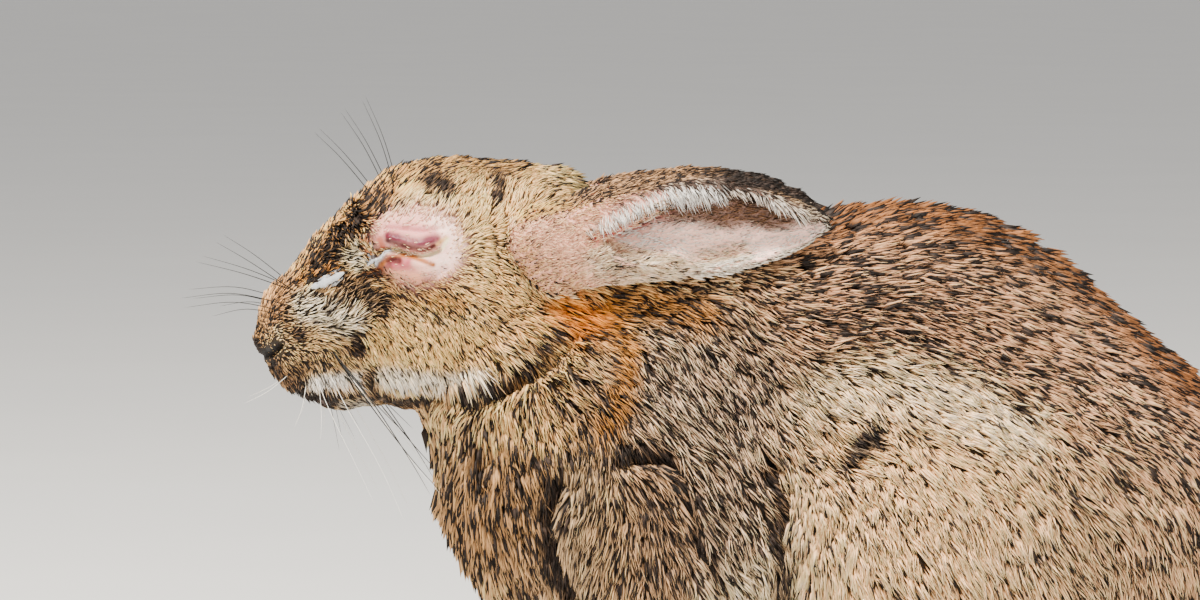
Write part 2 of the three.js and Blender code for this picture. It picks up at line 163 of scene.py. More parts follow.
def blend(values, weight, target):
    """Moves each row of values towards target by its weight."""
    values += weight[:, None] * (target - values)


# ---------- meshes ----------
def values_of(items, field, across=3, kind=float):
    """A field of all vertices, edges or triangles, with a row for each."""
    values = np.empty(len(items) * across, kind)
    items.foreach_get(field, values)
    return values.reshape(-1, across)


def mesh_arrays(me):
    return values_of(me.vertices, "co"), values_of(me.edges, "vertices", 2, np.int32)


def set_places(me, co):
    me.vertices.foreach_set("co", np.asarray(co, np.float32).ravel())
    me.update()


def vertex_normals(me):
    return values_of(me.vertices, "normal")


def spread(values, edges, turns, share=0.5, back=0.0):
    """Evens values out over a mesh. back undoes the shrinking that this gives a shape."""
    a, b = edges.T
    values = np.asarray(values, float).reshape(len(values), -1).copy()
    count = np.bincount(edges.ravel(), minlength=len(values))[:, None]
    share = np.asarray(share, float).reshape(-1, 1)
    for step in range(turns * (2 if back else 1)):
        sums = [np.bincount(a, c[b], len(values)) + np.bincount(b, c[a], len(values)) for c in values.T]
        factor = -back if back and step % 2 else 1
        values += factor * share * (np.stack(sums, axis=1) / np.maximum(count, 1) - values)
    return values


def add_object(name, me):
    ob = bpy.data.objects.new(name, me)
    bpy.context.scene.collection.objects.link(ob)
    return ob


def modified(ob):
    """The object's mesh with its modifiers applied."""
    return bpy.data.meshes.new_from_object(ob.evaluated_get(bpy.context.evaluated_depsgraph_get()))


def even_mesh(me, cell):
    """The shape as one closed mesh of even cells."""
    ob = add_object(me.name, me)
    remesh = ob.modifiers.new("even", "REMESH")
    remesh.mode = "VOXEL"
    remesh.voxel_size = cell * MM
    me = modified(ob)
    bpy.data.objects.remove(ob)
    return me


def welded(node, grow=0.0):
    """A CAD node's mesh as a bmesh, with its vertices merged and pushed out by grow."""
    bm = bmesh.new()
    bm.from_mesh(NODES[node].data)
    bmesh.ops.remove_doubles(bm, verts=bm.verts, dist=2e-6)
    bm.normal_update()
    for v in bm.verts:
        v.co += v.normal * grow
    return bm


def together(nodes, grow=0.0):
    """Several CAD nodes as one bmesh."""
    whole = bmesh.new()
    me = bpy.data.meshes.new("nodes")
    for node in nodes:
        bm = welded(node, grow)
        bm.to_mesh(me)
        whole.from_mesh(me)
        bm.free()
    return whole


# ---------- the coat's depth and lie ----------
# For each part: the coat's depth over the skin, then its tufts' length, width, lift in degrees, and how many
# there are per mm2.
COAT = {
    "head": (1.2, 2.9, 0.25, 22, 5.4),
    "neck": (2.4, 5.2, 0.31, 25, 3.4),
    "trunk": (2.5, 5.4, 0.315, 24, 3.2),
    "thigh": (2.5, 5.4, 0.315, 24, 3.2),
    "foreleg": (2.3, 5.2, 0.35, 25, 3.2),
    "forepaw": (1.1, 3.0, 0.32, 20, 3.0),
    "hindfoot": (1.3, 3.6, 0.36, 20, 2.6),
    "tail": (3.6, 8.4, 0.36, 32, 4.2),
    "ear": (0.35, 1.8, 0.18, 18, 5.5),
}
COAT_NAMES = list(COAT)
COAT_ROWS = np.array(list(COAT.values()))

SKIN_CELL = 1.6  # mm
EAR_CELL = 0.8
BRIDGE = 0.55  # mm that the solids are grown by, so that they meet across their gaps
SWELL_BACK = 1.02  # how much of the shrinking that evening out gives a shape is undone, and a little more
# An ear's points this near the head, and this far forward, are pushed this deep into it.
EAR_ROOT = dict(near=1.6, before=76, sunk=7)


def on_part(kinds, *names):
    """Which points are on these parts, from the numbers that nearest_nodes gives."""
    return np.isin(kinds, [COAT_NAMES.index(name) for name in names])


def nearest_nodes(points):
    """Which row of COAT each point belongs to: that of the nearest solid."""
    verts, faces, owner = [], [], []
    for node in FLESH + EARS:
        bm = welded(node)
        start = len(verts)
        verts += [v.co.copy() for v in bm.verts]
        faces += [[start + v.index for v in f.verts] for f in bm.faces]
        owner += [COAT_NAMES.index(node.split("_")[0])] * len(bm.faces)
        bm.free()
    tree = BVHTree.FromPolygons(verts, faces)
    return np.array([owner[tree.find_nearest(Vector(p))[2]] for p in points])


# ---------- the skin ----------
def grown_body():
    """The flesh nodes but the ears as one closed mesh of even cells."""
    me = bpy.data.meshes.new("body")
    flesh = together(FLESH, BRIDGE * MM)
    flesh.to_mesh(me)
    flesh.free()
    return even_mesh(me, SKIN_CELL)


def refine(me, wanted):
    """Splits each face in four where wanted(middles) says so."""
    bm = bmesh.new()
    bm.from_mesh(me)
    bm.faces.ensure_lookup_table()
    middles = to_body([f.calc_center_median() for f in bm.faces])
    chosen = np.flatnonzero(wanted(middles))
    edges = {e for i in chosen for e in bm.faces[i].edges}
    bmesh.ops.subdivide_edges(bm, edges=list(edges), cuts=1, use_grid_fill=True)
    bm.to_mesh(me)
    bm.free()


def on_head(p):
    return (p[:, 1] < 62) & (p[:, 2] > 104)


def on_face(p):
    near_eye = np.hypot(p[:, 1] - 38, p[:, 2] - 147.5) < 15
    return ((p[:, 1] < 27) & (p[:, 2] > 107) & (p[:, 2] < 134)) | (near_eye & (np.abs(p[:, 0]) > 9))


def on_lids(p):
    across, up = (p[:, 1] - 37) / 12, (p[:, 2] - 147) / 7.5
    return (np.hypot(across, up) < 1) & (np.abs(p[:, 0]) > 9)


# Lines that more than one table uses, as (y, z) seen from the side.
ROUND_EYE = [(34, 151.6), (40, 152), (45, 149.6), (44.6, 145), (38, 143.6)]
THREADS = [(28.4, 148), (29.2, 143.4)], [(29.2, 143.8), (31, 145.2), (31.8, 146.4), (33.4, 147)]
NOSTRIL = [(2.6, 121.0), (4.4, 122.2), (6.0, 123.4)]
LIP_FRINGE = [(15, 114.8), (20, 115.6), (25, 116)]
UNDER_LIP = [(14.6, 110.6), (18.6, 110)]
JAW_FRINGE = [(32, 117), (40, 116.6), (48, 116), (55, 117)]
BEFORE_ARM = [(72.4, 93), (70.8, 85), (70.4, 78), (72.4, 71), (76, 64)]

# Folds and swellings, as (path, width, height): (y, z) seen from the side, or (x, y, z).
FOLDS = [
    ([(33, 150), (36, 149.2), (40, 148.4), (44, 149.4)], 1.3, 1.3),  # swollen edge of the upper lid
    ([(31.5, 152.4), (36, 152), (41, 151.5), (46, 152.4)], 0.8, -0.6),
    ([(29, 146.2), (33, 147.1), (37, 146.1), (41, 145.8), (44.6, 147.2)], 0.7, -1.8),  # slit
    ([(33.4, 143.2), (37.5, 143.9), (41, 143.4)], 2.2, 1.5),  # lower lid
    ([(32.4, 144), (35, 144.6)], 0.8, -1.0),
    ([(30.5, 141), (35, 140.2), (41, 140.2), (46.5, 142.4)], 1.0, -0.6),
    ([(28.4, 145.4)], 1.7, -0.8),  # inner corner
    (THREADS[0], 0.45, 0.5),  # discharge
    (THREADS[1], 0.45, 0.4),
    ([(2.8, 121.0), (4.4, 122.2), (6.0, 123.4)], 0.8, -2.6),  # nostril
    ([(0, 1.2, 124.4), (0, 2.2, 121)], 2.8, 1.7),  # tip of the nose
    ([(2, 6, 118), (2.6, 9, 115)], 2.6, 1.2),  # upper lip
    ([(0, 16.5, 110.2), (0, 26, 109.4)], 4.2, 1.1),  # chin
    ([(0, 0.5, 121.5), (0, 3.5, 118), (0, 7.5, 114)], 0.8, -1.2),  # split lip
    ([(0, 9, 112.9), (4, 11.5, 112.4), (5.5, 15, 112.2), (6.6, 20, 113), (7.4, 26, 115)], 0.8, -1.8),
    ([(23.6, 127.4), (25, 123.4)], 1.9, -1.2),  # behind the whisker pad
    ([(56.5, 163), (57.5, 152), (58.5, 142)], 1.4, -1.0),  # in front of the ear
    ([(38, 110), (48, 111.2), (57, 112.6), (64, 117), (71, 122), (75, 127)], 1.7, -2.6),  # under the jaw
    (BEFORE_ARM, 2.2, -3.6),
    # Above and behind the upper arm.
    ([(88, 98), (95, 99), (101, 95.5), (104, 87), (106.6, 77), (110.6, 69), (114, 62)], 1.9, -3.2),
    ([(88, 84)], 13, 1.6),
    ([(54, 102), (55, 92)], 1.8, -1.6),  # breast
    ([(122, 98), (125.5, 91), (124.5, 81), (127, 71), (126, 60)], 2.4, -2.6),  # flank in front of the thigh
]


def folded(p):
    """How far each point of the skin is raised by FOLDS."""
    return sum(height * stroke(p, curved(path), width) for path, width, height in FOLDS)


# Where an ear is bent: (path, width, mm outward, mm up, whether only its hollow side is moved).
EAR_FOLDS = [
    ([(103, 157), (112, 157.4), (120, 157)], 4.6, -0.6, 3.2, False),
    ([(84, 146.6), (90, 145.6), (99, 144.6)], 4.6, 5.2, 0.4, True),
]
LOWER_RIM = [(82.5, 147.6), (90, 145.4), (97, 142.8), (104, 141.6)]


def bent_ear(co, n):
    p = to_body(co)
    _, _, outside = ear_place(p, n)
    for path, width, out, up, hollow in EAR_FOLDS:
        weight = stroke(p, path, width) * (ramp(-outside, -0.1, 0.5) if hollow else 1)
        p[:, 0] += out * weight * side_signs(p)
        p[:, 2] += up * weight
    return to_row(p)


def ear_skin(node):
    """An ear's solid, smoothed, with its root pushed into the head."""
    me = bpy.data.meshes.new(node)
    body = together(["head", "neck"])
    tree = BVHTree.FromBMesh(body)
    body.free()
    ear = welded(node)
    bmesh.ops.subdivide_edges(ear, edges=ear.edges, cuts=1, use_grid_fill=True)
    for v in ear.verts:
        _, normal, _, gap = tree.find_nearest(v.co)
        if gap < EAR_ROOT["near"] * MM and to_body([v.co])[0][1] < EAR_ROOT["before"]:
            v.co -= normal * (EAR_ROOT["sunk"] * MM)
    ear.to_mesh(me)
    ear.free()
    me = even_mesh(me, EAR_CELL)
    co, edges = mesh_arrays(me)
    set_places(me, spread(co, edges, 10, back=SWELL_BACK))
    co, _ = mesh_arrays(me)
    co = bent_ear(co, vertex_normals(me))
    set_places(me, spread(co, edges, 40, 0.6 * stroke(to_body(co), LOWER_RIM, 3.6)))
    co, _ = mesh_arrays(me)
    set_places(me, co - vertex_normals(me) * (COAT["ear"][0] * MM))
    return me


def build_skin():
    me = grown_body()
    co, edges = mesh_arrays(me)
    kinds = nearest_nodes(co)
    share = np.where(on_part(kinds, "forepaw", "hindfoot"), 0.35, np.where(on_part(kinds, "head"), 0.5, 0.6))
    set_places(me, spread(co, edges, 14, spread(share, edges, 6), back=SWELL_BACK))
    for where, turns in ((on_head, 4), (on_face, 3)):
        refine(me, where)
        co, edges = mesh_arrays(me)
        set_places(me, spread(co, edges, turns, 0.5 * where(to_body(co)), back=SWELL_BACK))
    refine(me, on_lids)

    co, edges = mesh_arrays(me)
    kinds = nearest_nodes(co)
    p = to_body(co)
    depth = spread(COAT_ROWS[kinds, 0], edges, 12)[:, 0] * depth_share(p) + BRIDGE
    set_places(me, co + vertex_normals(me) * ((folded(p) - depth) * MM)[:, None])
    me.name = "skin"
    skin = add_object("skin", me)
    for node in EARS:
        ear = add_object(node + "_skin", ear_skin(node))
        join = skin.modifiers.new(node, "BOOLEAN")
        join.operation = "UNION"
        join.solver = "MANIFOLD"
        join.object = ear
        me = modified(skin)
        skin.modifiers.clear()
        skin.data = me
        bpy.data.objects.remove(ear)
    return skin


def depth_share(p):
    """The coat is thinner round the nose, the mouth and the eyes."""
    q = mirrored(p)
    eye = np.exp(-(((q[:, 1] - 39.5) / 12) ** 2 + ((q[:, 2] - 148.5) / 10) ** 2) ** 2)
    eye *= ramp(q[:, 0], 8, 13)
    muzzle = 1 - ramp(q[:, 1], 4, 26)
    return 1 - 0.75 * eye - 0.45 * muzzle


# ---------- ears, seen along their middle line ----------
EAR_LINE = [(10.5, 55, 141.5), (19, 68, 145.6), (24, 84, 150.6), (27, 108, 152.8), (26.5, 136, 153.4)]
EAR_HALF = (12.7, 7.0)  # half height and half depth of the cup


def ear_place(points, normals):
    """For points on the ears: the share of its length, the angle round its cup in degrees, where 0 is outward
    and 90 is up, and how much they face away from the cup's middle line."""
    _, t, centre, _ = along_path(points, EAR_LINE)
    p = mirrored(points) - centre
    out, up = p[:, 0] / EAR_HALF[1], p[:, 2] / EAR_HALF[0]
    angle = np.degrees(np.arctan2(up, out)) % 360
    facing = unit(np.stack([out, np.zeros(len(p)), up], axis=1))
    n = np.array(normals)
    n[:, 0] *= np.sign(np.asarray(points)[:, 0])
    return t, angle, dots(facing, n)


# ---------- the lie of the coat ----------
# Combing rows: x, how far the hair leans outward, z, then for each y the degrees below straight back.
LIE_ROWS = [
    (3, 0.1, 167, {26: -45, 36: -38, 46: -22, 58: -20, 70: 10}),
    (7, 0.1, 163, {24: -50, 32: -46, 40: -50, 48: -66, 56: -60, 64: -50, 74: 5}),
    (12, 0.1, 159, {20: -60, 28: -70, 36: -76, 44: -80, 52: -66, 60: -75, 70: -50}),
    (5, 0.1, 155, {18: -48, 24: 60}),
    (15, 0.1, 155, {34: -80, 44: -70, 54: -62, 62: -80}),
    (9, 0.1, 150, {14: -46, 20: 62, 27: 50}),
    (16, 0.1, 148, {36: -20, 48: -60, 56: 2, 63: 10}),
    (9, 0.1, 144, {6: -46, 11: -30, 17: 8, 24: 14, 30: 25}),
    (17, 0.1, 144, {40: 16, 48: 2, 56: 22, 62: 44}),
    (10, 0.1, 140, {6: -46, 12: -12, 18: -24, 24: -32, 30: -10}),
    (18, 0.1, 140, {36: 50, 44: 24, 52: 24, 60: 42}),
    (10, 0.1, 136, {3: -60, 8: -10, 13: -22, 18: -34, 23: -60, 28: -46}),
    (18, 0.1, 136, {36: 40, 46: 40, 56: 36, 66: 34}),
    (10, 0.1, 131, {2: -70, 8: 12, 14: -10, 19: -46, 24: -58, 28: -30}),
    (18, 0.1, 130, {33: 55, 42: 48, 51: 57, 60: 34, 68: 30}),
    (9, 0.2, 126, {1: -80, 8: 2, 14: -12, 20: 10, 25: 60}),
    (18, 0.1, 124, {30: 56, 38: 57, 46: 60, 54: 48, 62: 36, 70: 40}),
    (8, 0.2, 120, {5: 40, 10: 30, 15: 70, 20: 62, 25: 54}),
    (16, 0.1, 119, {31: 66, 40: 62, 49: 58, 58: 56, 66: 58}),
    (7, 0.1, 115, {9: 60, 13: 90, 18: 76, 24: 58}),
    (14, 0.1, 114, {31: 92, 38: 92, 46: 100, 54: 108, 61: 100}),
    (5, 0.0, 110, {16: 40, 22: 40, 30: 40}),
    (30, 0.0, 156, {150: 0, 165: 8}),
    (30, 0.0, 149, {136: 4, 150: 12, 163: 22, 181: 21}),
    (34, 0.0, 141, {78: 20, 145: 16, 163: 25, 181: 30, 200: 32}),
    (34, 0.0, 134, {82: 30, 100: 34, 109: 40, 118: 36, 127: 23, 136: 15, 154: 24, 172: 30, 190: 36, 208: 40}),
    (36, 0.0, 127, {74: 40, 82: 30, 91: 40, 100: 54, 109: 59, 118: 47, 127: 31, 136: 19, 145: 18,
        163: 32, 181: 41, 208: 46}),
    (38, 0.0, 120, {73: 52, 82: 35, 91: 58, 104: 62, 118: 51, 127: 34, 137: 13, 147: 24, 163: 33,
        181: 43, 205: 49}),
    (38, 0.0, 113, {65: 66, 73: 46, 82: 40, 91: 56, 109: 59, 118: 58, 127: 36, 136: 34, 145: 47,
        163: 41, 190: 48, 215: 53}),
    (38, 0.0, 106, {48: 90, 55: 80, 64: 62, 73: 57, 84: 68, 96: 61, 109: 45, 118: 57, 132: 46,
        154: 50, 181: 49, 208: 54, 228: 62}),
    (38, 0.0, 99, {47: 98, 55: 83, 64: 58, 73: 68, 81: 96, 91: 71, 104: 52, 118: 52, 136: 43,
        146: 33, 154: 61, 172: 54, 199: 52}),
    (40, 0.0, 92, {48: 99, 55: 66, 64: 53, 73: 97, 82: 110, 91: 54, 100: 47, 109: 58, 120: 47,
        136: 49, 154: 68, 172: 60, 199: 55}),
    (40, 0.0, 85, {50: 95, 57: 62, 64: 52, 73: 96, 82: 108, 91: 88, 100: 58, 118: 49, 136: 60,
        154: 70, 172: 66, 199: 60, 217: 70}),
    (40, 0.0, 78, {56: 76, 64: 62, 73: 94, 82: 108, 91: 95, 104: 58, 118: 50, 127: 70, 154: 69,
        181: 66, 208: 70, 232: 76}),
    (40, 0.0, 71, {64: 76, 73: 92, 82: 106, 91: 90, 104: 76, 118: 60, 127: 84, 145: 68, 172: 74, 208: 74}),
    (50, 0.0, 58, {135: 56, 155: 55, 175: 62, 195: 70, 215: 70}),
    (50, 0.0, 42, {140: 40, 165: 42, 190: 52, 215: 56}),
    (4, 0.1, 148, {92: 12, 110: 6}),
    (5, 0.2, 158, {125: 4, 145: 2, 160: 6, 175: 10}),
    (6, 0.2, 148, {190: 28, 200: 38}),
    (6, 0.2, 125, {215: 50, 225: 56}),
    (6, 0.2, 100, {236: 66}),
    (6, 0.2, 72, {244: 78}),
    (4, 0.1, 96, {44: 84}),
    (4, 0.1, 74, {52: 82}),
    (8, 0.0, 46, {80: 30, 130: 8, 190: 8}),
]
LIE_ACROSS = 0.35  # how much a difference in x counts, against one in y or z


def combing_points():
    """The rows of LIE_ROWS as places and directions."""
    for x, out, z, row in LIE_ROWS:
        for y, down in row.items():
            turn = math.radians(down)
            yield (x * LIE_ACROSS, y, z), unit(np.array((out, math.cos(turn), -math.sin(turn))))


# Long parts that the coat follows from end to end. They are also what each part's unwrap runs along.
AXES = {
    "head": [(0, -2, 122), (0, 30, 138), (0, 78, 148)],
    "neck": [(0, 60, 140), (0, 84, 100)],
    "trunk": [(0, 56, 100), (0, 110, 92), (0, 175, 90), (0, 250, 60)],
    "thigh": [(20, 225, 84), (30, 140, 60)],
    "foreleg": [(24, 88, 106), (23, 95, 64), (18.5, 75, 27), (16.5, 69, 12)],
    "forepaw": [(16.5, 74, 16), (15, 64, 7), (15, 48, 4)],
    "hindfoot": [(35, 240, 12), (37, 190, 9), (37, 140, 5)],
    "tail": [(0, 232, 46), (0, 247, 62), (0, 246, 100)],
    "ear": EAR_LINE,
}
FOLLOWS_AXIS = ("forepaw", "hindfoot", "tail", "ear")


def side_signs(points):
    return np.where(np.asarray(points)[:, 0] < 0, -1.0, 1.0)


def combed(p, kinds):
    """The direction in which the coat lies at each point of the skin."""
    q = mirrored(p)
    flat = q * (LIE_ACROSS, 1, 1)
    lie = np.zeros_like(q)
    for place, course in combing_points():
        weight = 1 / (dots(flat - place, flat - place) + 6) ** 2
        lie += weight[:, None] * course
    lie = unit(lie)
    for name in FOLLOWS_AXIS:
        here = on_part(kinds, name)
        lie[here] = along_path(p[here], AXES[name])[3]
    below_elbow = on_part(kinds, "foreleg") * (1 - ramp(q[:, 2], 46, 66))
    blend(lie, below_elbow, along_path(p, AXES["foreleg"])[3])
    lie[:, 0] *= side_signs(p)
    return lie


def flat_on(lie, n):
    return unit(lie - dots(lie, n)[:, None] * n)


# ---------- markings and painted shade ---
def rgb(code):
    """An sRGB hex colour as linear light."""
    c = np.array([int(code[i : i + 2], 16) for i in (0, 2, 4)]) / 255
    return np.where(c <= 0.04045, c / 12.92, ((c + 0.055) / 1.055) ** 2.4)


BACK_LINE = [(100, 147), (118, 150), (136, 153), (150, 157), (172, 152), (190, 146), (206, 134), (222, 116)]
# Marks on the coat, and painted shade in creases and under the jaw: (path, width, colour of the hairs' pale
# bands, share of dark hairs, strength).
COAT_MARKS_AND_SHADE = [
    ([(150, 130), (190, 118), (215, 95)], 34, "c8a084", 0.52, 0.95),  # back and upper flank
    ([(100, 118), (120, 100), (118, 75)], 20, "d8bca4", 0.54, 0.85),
    ([(146, 92), (170, 90), (180, 80), (148, 74)], 22, "fad0a6", 0.12, 1.0),  # pale thigh
    ([(136, 112), (150, 116), (165, 112), (182, 104)], 7.5, "ffe2bc", 0.05, 0.95),
    ([(200, 80), (215, 60)], 22, "dcb898", 0.34, 0.7),
    (BACK_LINE, 7.5, "845a38", 0.52, 0.9),
    ([(72, 108), (66, 96), (58, 84)], 14, "a68664", 0.52, 0.9),
    ([(62, 112), (70, 118), (76, 122)], 5, "dab080", 0.32, 0.85),
    ([(64, 105), (71, 105)], 7, "dcb286", 0.36, 0.85),
    ([(78, 92), (77, 78), (78, 66)], 7, "b49c80", 0.46, 0.95),
    ([(96, 92), (96, 80), (97, 70)], 7, "b4967a", 0.4, 0.9),
    ([(112, 62), (124, 70)], 8, "e2cfae", 0.2, 0.6),
    ([(30, 140), (50, 140), (60, 150)], 34, "facf9e", 0.15, 1.0),  # head
    ([(26, 158), (36, 165), (50, 168), (64, 167)], 4.4, "b8946a", 0.5, 0.95),
    ([(26, 158.6), (19, 151), (13, 144)], 3.0, "b8946c", 0.5, 0.95),
    ([(23, 147), (20, 142.6), (15, 140.4)], 3.8, "d0965c", 0.88, 1.0),  # wet hair before the eye
    ([(8, 137), (5, 131)], 5, "a4805e", 0.42, 0.9),
    ([(1, 130), (1.4, 125)], 1.8, "9a7850", 0.45, 0.8),
    ([(0.8, 124), (1.2, 122.6), (3, 121.4)], 1.1, "3a2c22", 0.85, 0.95),
    ([(10, 120), (18, 122)], 7, "ccac84", 0.34, 0.9),
    ([(11.4, 126.4)], 1.7, "5c4532", 0.85, 1.0),
    ([(6.4, 127.6), (6.9, 123.8)], 1.1, "f2d4ac", 0.1, 0.9),
    ([(5.6, 119), (7.6, 116), (12, 114)], 1.9, "6c5440", 0.7, 0.9),
    ([(11, 117.6), (13, 119)], 1.5, "5c4834", 0.6, 0.7),
    (LIP_FRINGE, 1.9, "fff8ee", 0.05, 0.95),
    (UNDER_LIP, 1.8, "34261f", 0.95, 1.0),
    ([(9, 112.9), (14, 112), (20, 112), (27, 112.8)], 0.9, "2c211b", 0.95, 1.0),
    ([(22, 109.2), (27, 109.6)], 2.0, "b4aca0", 0.3, 1.0),
    # Painted shade in the gap between the lip and jaw fringes and under the jaw fringe.
    ([(28.6, 117), (29, 112), (34, 110.4), (42, 110.6)], 1.6, "5a4c40", 0.72, 0.95),
    (JAW_FRINGE, 2.3, "fff4e0", 0.06, 0.95),
    ([(30, 127), (42, 124), (54, 124)], 6, "f4c892", 0.15, 0.9),
    ([(32, 137), (42, 135), (50, 134)], 3, "c09460", 0.34, 0.7),
    ([(24.4, 126.4), (25.8, 122.6)], 2.0, "5c4838", 0.78, 0.95),
    ([(23, 137.6), (27, 136.6), (31, 134)], 3.6, "8a745c", 0.74, 0.95),
    ([(13.6, 133), (18, 131.6), (24, 130)], 4.0, "fff0d4", 0.22, 0.95),
    ([(16, 135.6), (21, 134.4)], 1.2, "4a3a30", 0.6, 0.6),
    ([(12, 139.4)], 1.4, "c89058", 0.1, 0.8),
    ([(23, 145.6), (25.4, 143.4), (25, 148)], 2.3, "f8e6c4", 0.1, 1.0),
    ([(27.2, 149.6), (30.4, 149.4)], 1.0, "8a4a2c", 0.5, 0.9),
    ([(26.6, 141), (32.4, 142.2)], 1.5, "744a2c", 0.6, 0.95),
    ([(27, 147), (28.8, 145.8)], 0.8, "8a4a2c", 0.4, 0.8),
    ([(34, 139), (42, 138), (47, 139)], 1.8, "cca070", 0.14, 0.8),
    ([(30, 155), (36, 158.6), (44, 159), (50, 155.4), (52.4, 149), (50, 142.6)], 1.8, "f0cf9e", 0.12, 0.9),
    ([(54, 157), (56, 144)], 4, "fad6a2", 0.1, 0.9),
    ([(33, 153), (39, 154), (45, 152), (45, 145), (38, 142.6)], 4.8, "f4ccb8", 0.0, 1.0),  # round the eye
    ([(72, 165), (77, 162)], 3.4, "e8c496", 0.24, 0.9),
    ([(60, 136), (68, 128)], 5, "e6b886", 0.2, 0.8),
    ([(84, 132), (90, 122), (88, 112), (85, 105)], 4.0, "b08048", 0.28, 0.9),
    ([(108, 131), (96, 133), (86, 133)], 5, "a87840", 0.36, 0.85),
    ([(75, 133), (79, 129)], 6.2, "c48040", 0.1, 1.0),  # nape
    ([(147.8, 103.8), (144.8, 101.8)], 2.8, "5a524a", 0.84, 0.9),
    ([(144, 99.8), (139.8, 95.6)], 1.7, "6a6056", 0.72, 0.85),
    ([(180.5, 113), (182, 110)], 2.2, "5a4a3c", 0.85, 0.8),
    ([(54, 101), (55, 93)], 1.8, "5c4630", 0.75, 0.8),
    # From here to the list's end: painted shade along the creases before and above the arm, in front of the
    # thigh and under the jaw.
    ([(88, 98.6), (95, 99.4), (101, 96), (104, 88), (104.5, 80)], 2.0, "46362a", 0.84, 0.95),  # creases
    (BEFORE_ARM, 2.0, "46362a", 0.82, 0.95),
    ([(103, 91), (104.6, 85), (106.6, 77), (110.6, 69), (114, 62)], 1.5, "46362a", 0.8, 0.85),
    ([(122, 97), (125.5, 90), (124.5, 80), (127, 70), (126, 60)], 1.6, "5a4a3c", 0.78, 0.85),
    ([(42, 111.6), (50, 111.2), (58, 113), (66, 119), (73, 126)], 1.3, "3a2c22", 0.82, 0.9),
]
# Marks like those above that leave out the head's middle line.
PAIRED_MARKINGS = [
    ([(36, 163), (30, 158.4), (24, 152.6), (18, 147), (13, 143.4)], 3.6, "d4a878", 0.56, 1.0),
    ([(32, 158.6), (26, 154), (20, 148), (15, 143)], 2.0, "8a6a4a", 0.76, 0.9),
    ([(42.4, 162.6), (46.4, 161)], 2.3, "6a5644", 0.76, 0.95),
    ([(59, 163), (58.6, 159)], 1.5, "5c4a3a", 0.8, 0.9),
]
BASE_COAT = ("c4a482", 0.4)
FOOT_COAT = ("c4a480", 0.26)
BELLY_COAT = ("ece4d6", 0.04)
TAIL_COAT = {"top": ("6a5c50", 0.6), "under": ("f6f2ea", 0.0)}
MIDDLE_BAND = (1.5, 5)  # mm from the middle line over which paired marks come in
RICHER = 1.15  # how much stronger the coat's colours are than these codes, against grey
DEEPER = 1.22  # and the power that darkens all but the whites


def mark(colour, dark):
    return np.append(rgb(colour), dark)


def coat_marks_and_shade(p, n, kinds):
    """The colour of the coat's pale bands at each point, and the share of dark hairs there, painted shade in
    creases and in the ears' hollows included.
    """
    marks = np.tile(mark(*BASE_COAT), (len(p), 1))
    for number, (path, width, colour, dark, strength) in enumerate(COAT_MARKS_AND_SHADE + PAIRED_MARKINGS):
        weight = stroke(p, path, width, 3) * strength
        if number >= len(COAT_MARKS_AND_SHADE):
            weight *= ramp(np.abs(p[:, 0]), *MIDDLE_BAND)
        blend(marks, weight, mark(colour, dark))
    blend(marks, 0.9 * (1 - ramp(p[:, 2], 24, 60)), mark(*FOOT_COAT))
    under = ramp(-n[:, 2], 0.35, 0.8) * on_part(kinds, "trunk", "thigh", "neck")
    under *= (1 - ramp(p[:, 2], 70, 100)) * ramp(p[:, 1], 78, 104)
    under[on_part(kinds, "thigh")] *= 0.12
    blend(marks, under, mark(*BELLY_COAT))
    inside = ramp(-n[:, 0] * side_signs(p), 0.3, 0.8) * on_part(kinds, "foreleg", "thigh", "hindfoot")
    blend(marks, 0.45 * inside, mark(*BELLY_COAT))
    tail, back = on_part(kinds, "tail"), ramp(n[:, 1], -0.1, 0.5)
    blend(marks, tail * (1 - back), mark(*TAIL_COAT["top"]))
    blend(marks, tail * back, mark(*TAIL_COAT["under"]))
    ears = on_part(kinds, "ear")
    marks[ears] = ear_marks_and_shade(p[ears], n[ears])
    grey = marks[:, :3].mean(1, keepdims=True)
    marks[:, :3] = np.maximum(grey + RICHER * (marks[:, :3] - grey), 0.004) ** DEEPER
    return marks


EAR_COAT = {
    "back": ("a88e72", 0.3),
    "base": ("e4b8a2", 0.01),
    "crown": ("d0a878", 0.34),
    "inside": ("fff4ec", 0.0),
    "wall": ("ecd0b4", 0.1),
    # Painted shade in the upper hollow under the ear's fold.
    "hollow_shade": ("8c6e58", 0.3),
    "fringe": ("fffaf4", 0.01),
    "rim": ("f0e4d4", 0.04),
    "black": ("1a1412", 0.95),
    "grizzle": ("a88a6e", 0.46),
    "tip": ("c8beb0", 0.4),
}
# The fold of the ear below its opening.
LOWER_WALL = [(82, 144), (92, 142.6), (104, 142.4), (114, 144.8)]


def in_shade(p):
    """How far points are into the ear's upper hollow under its fold, which is painted brown as shade."""
    line = np.interp(p[:, 1], [88, 96, 110, 125, 134], [152.5, 152.6, 151.6, 151.6, 152.4])
    return ramp(p[:, 2] + 1.2 * noise(p, 3, 2), line - 1, line + 3) * ramp(p[:, 1], 88, 94)


def over_fringe(p):
    """How far points are on the ear's top edge, above its fringe."""
    return ramp(p[:, 2], 160.4, 161.8) * ramp(p[:, 1], 86, 94)
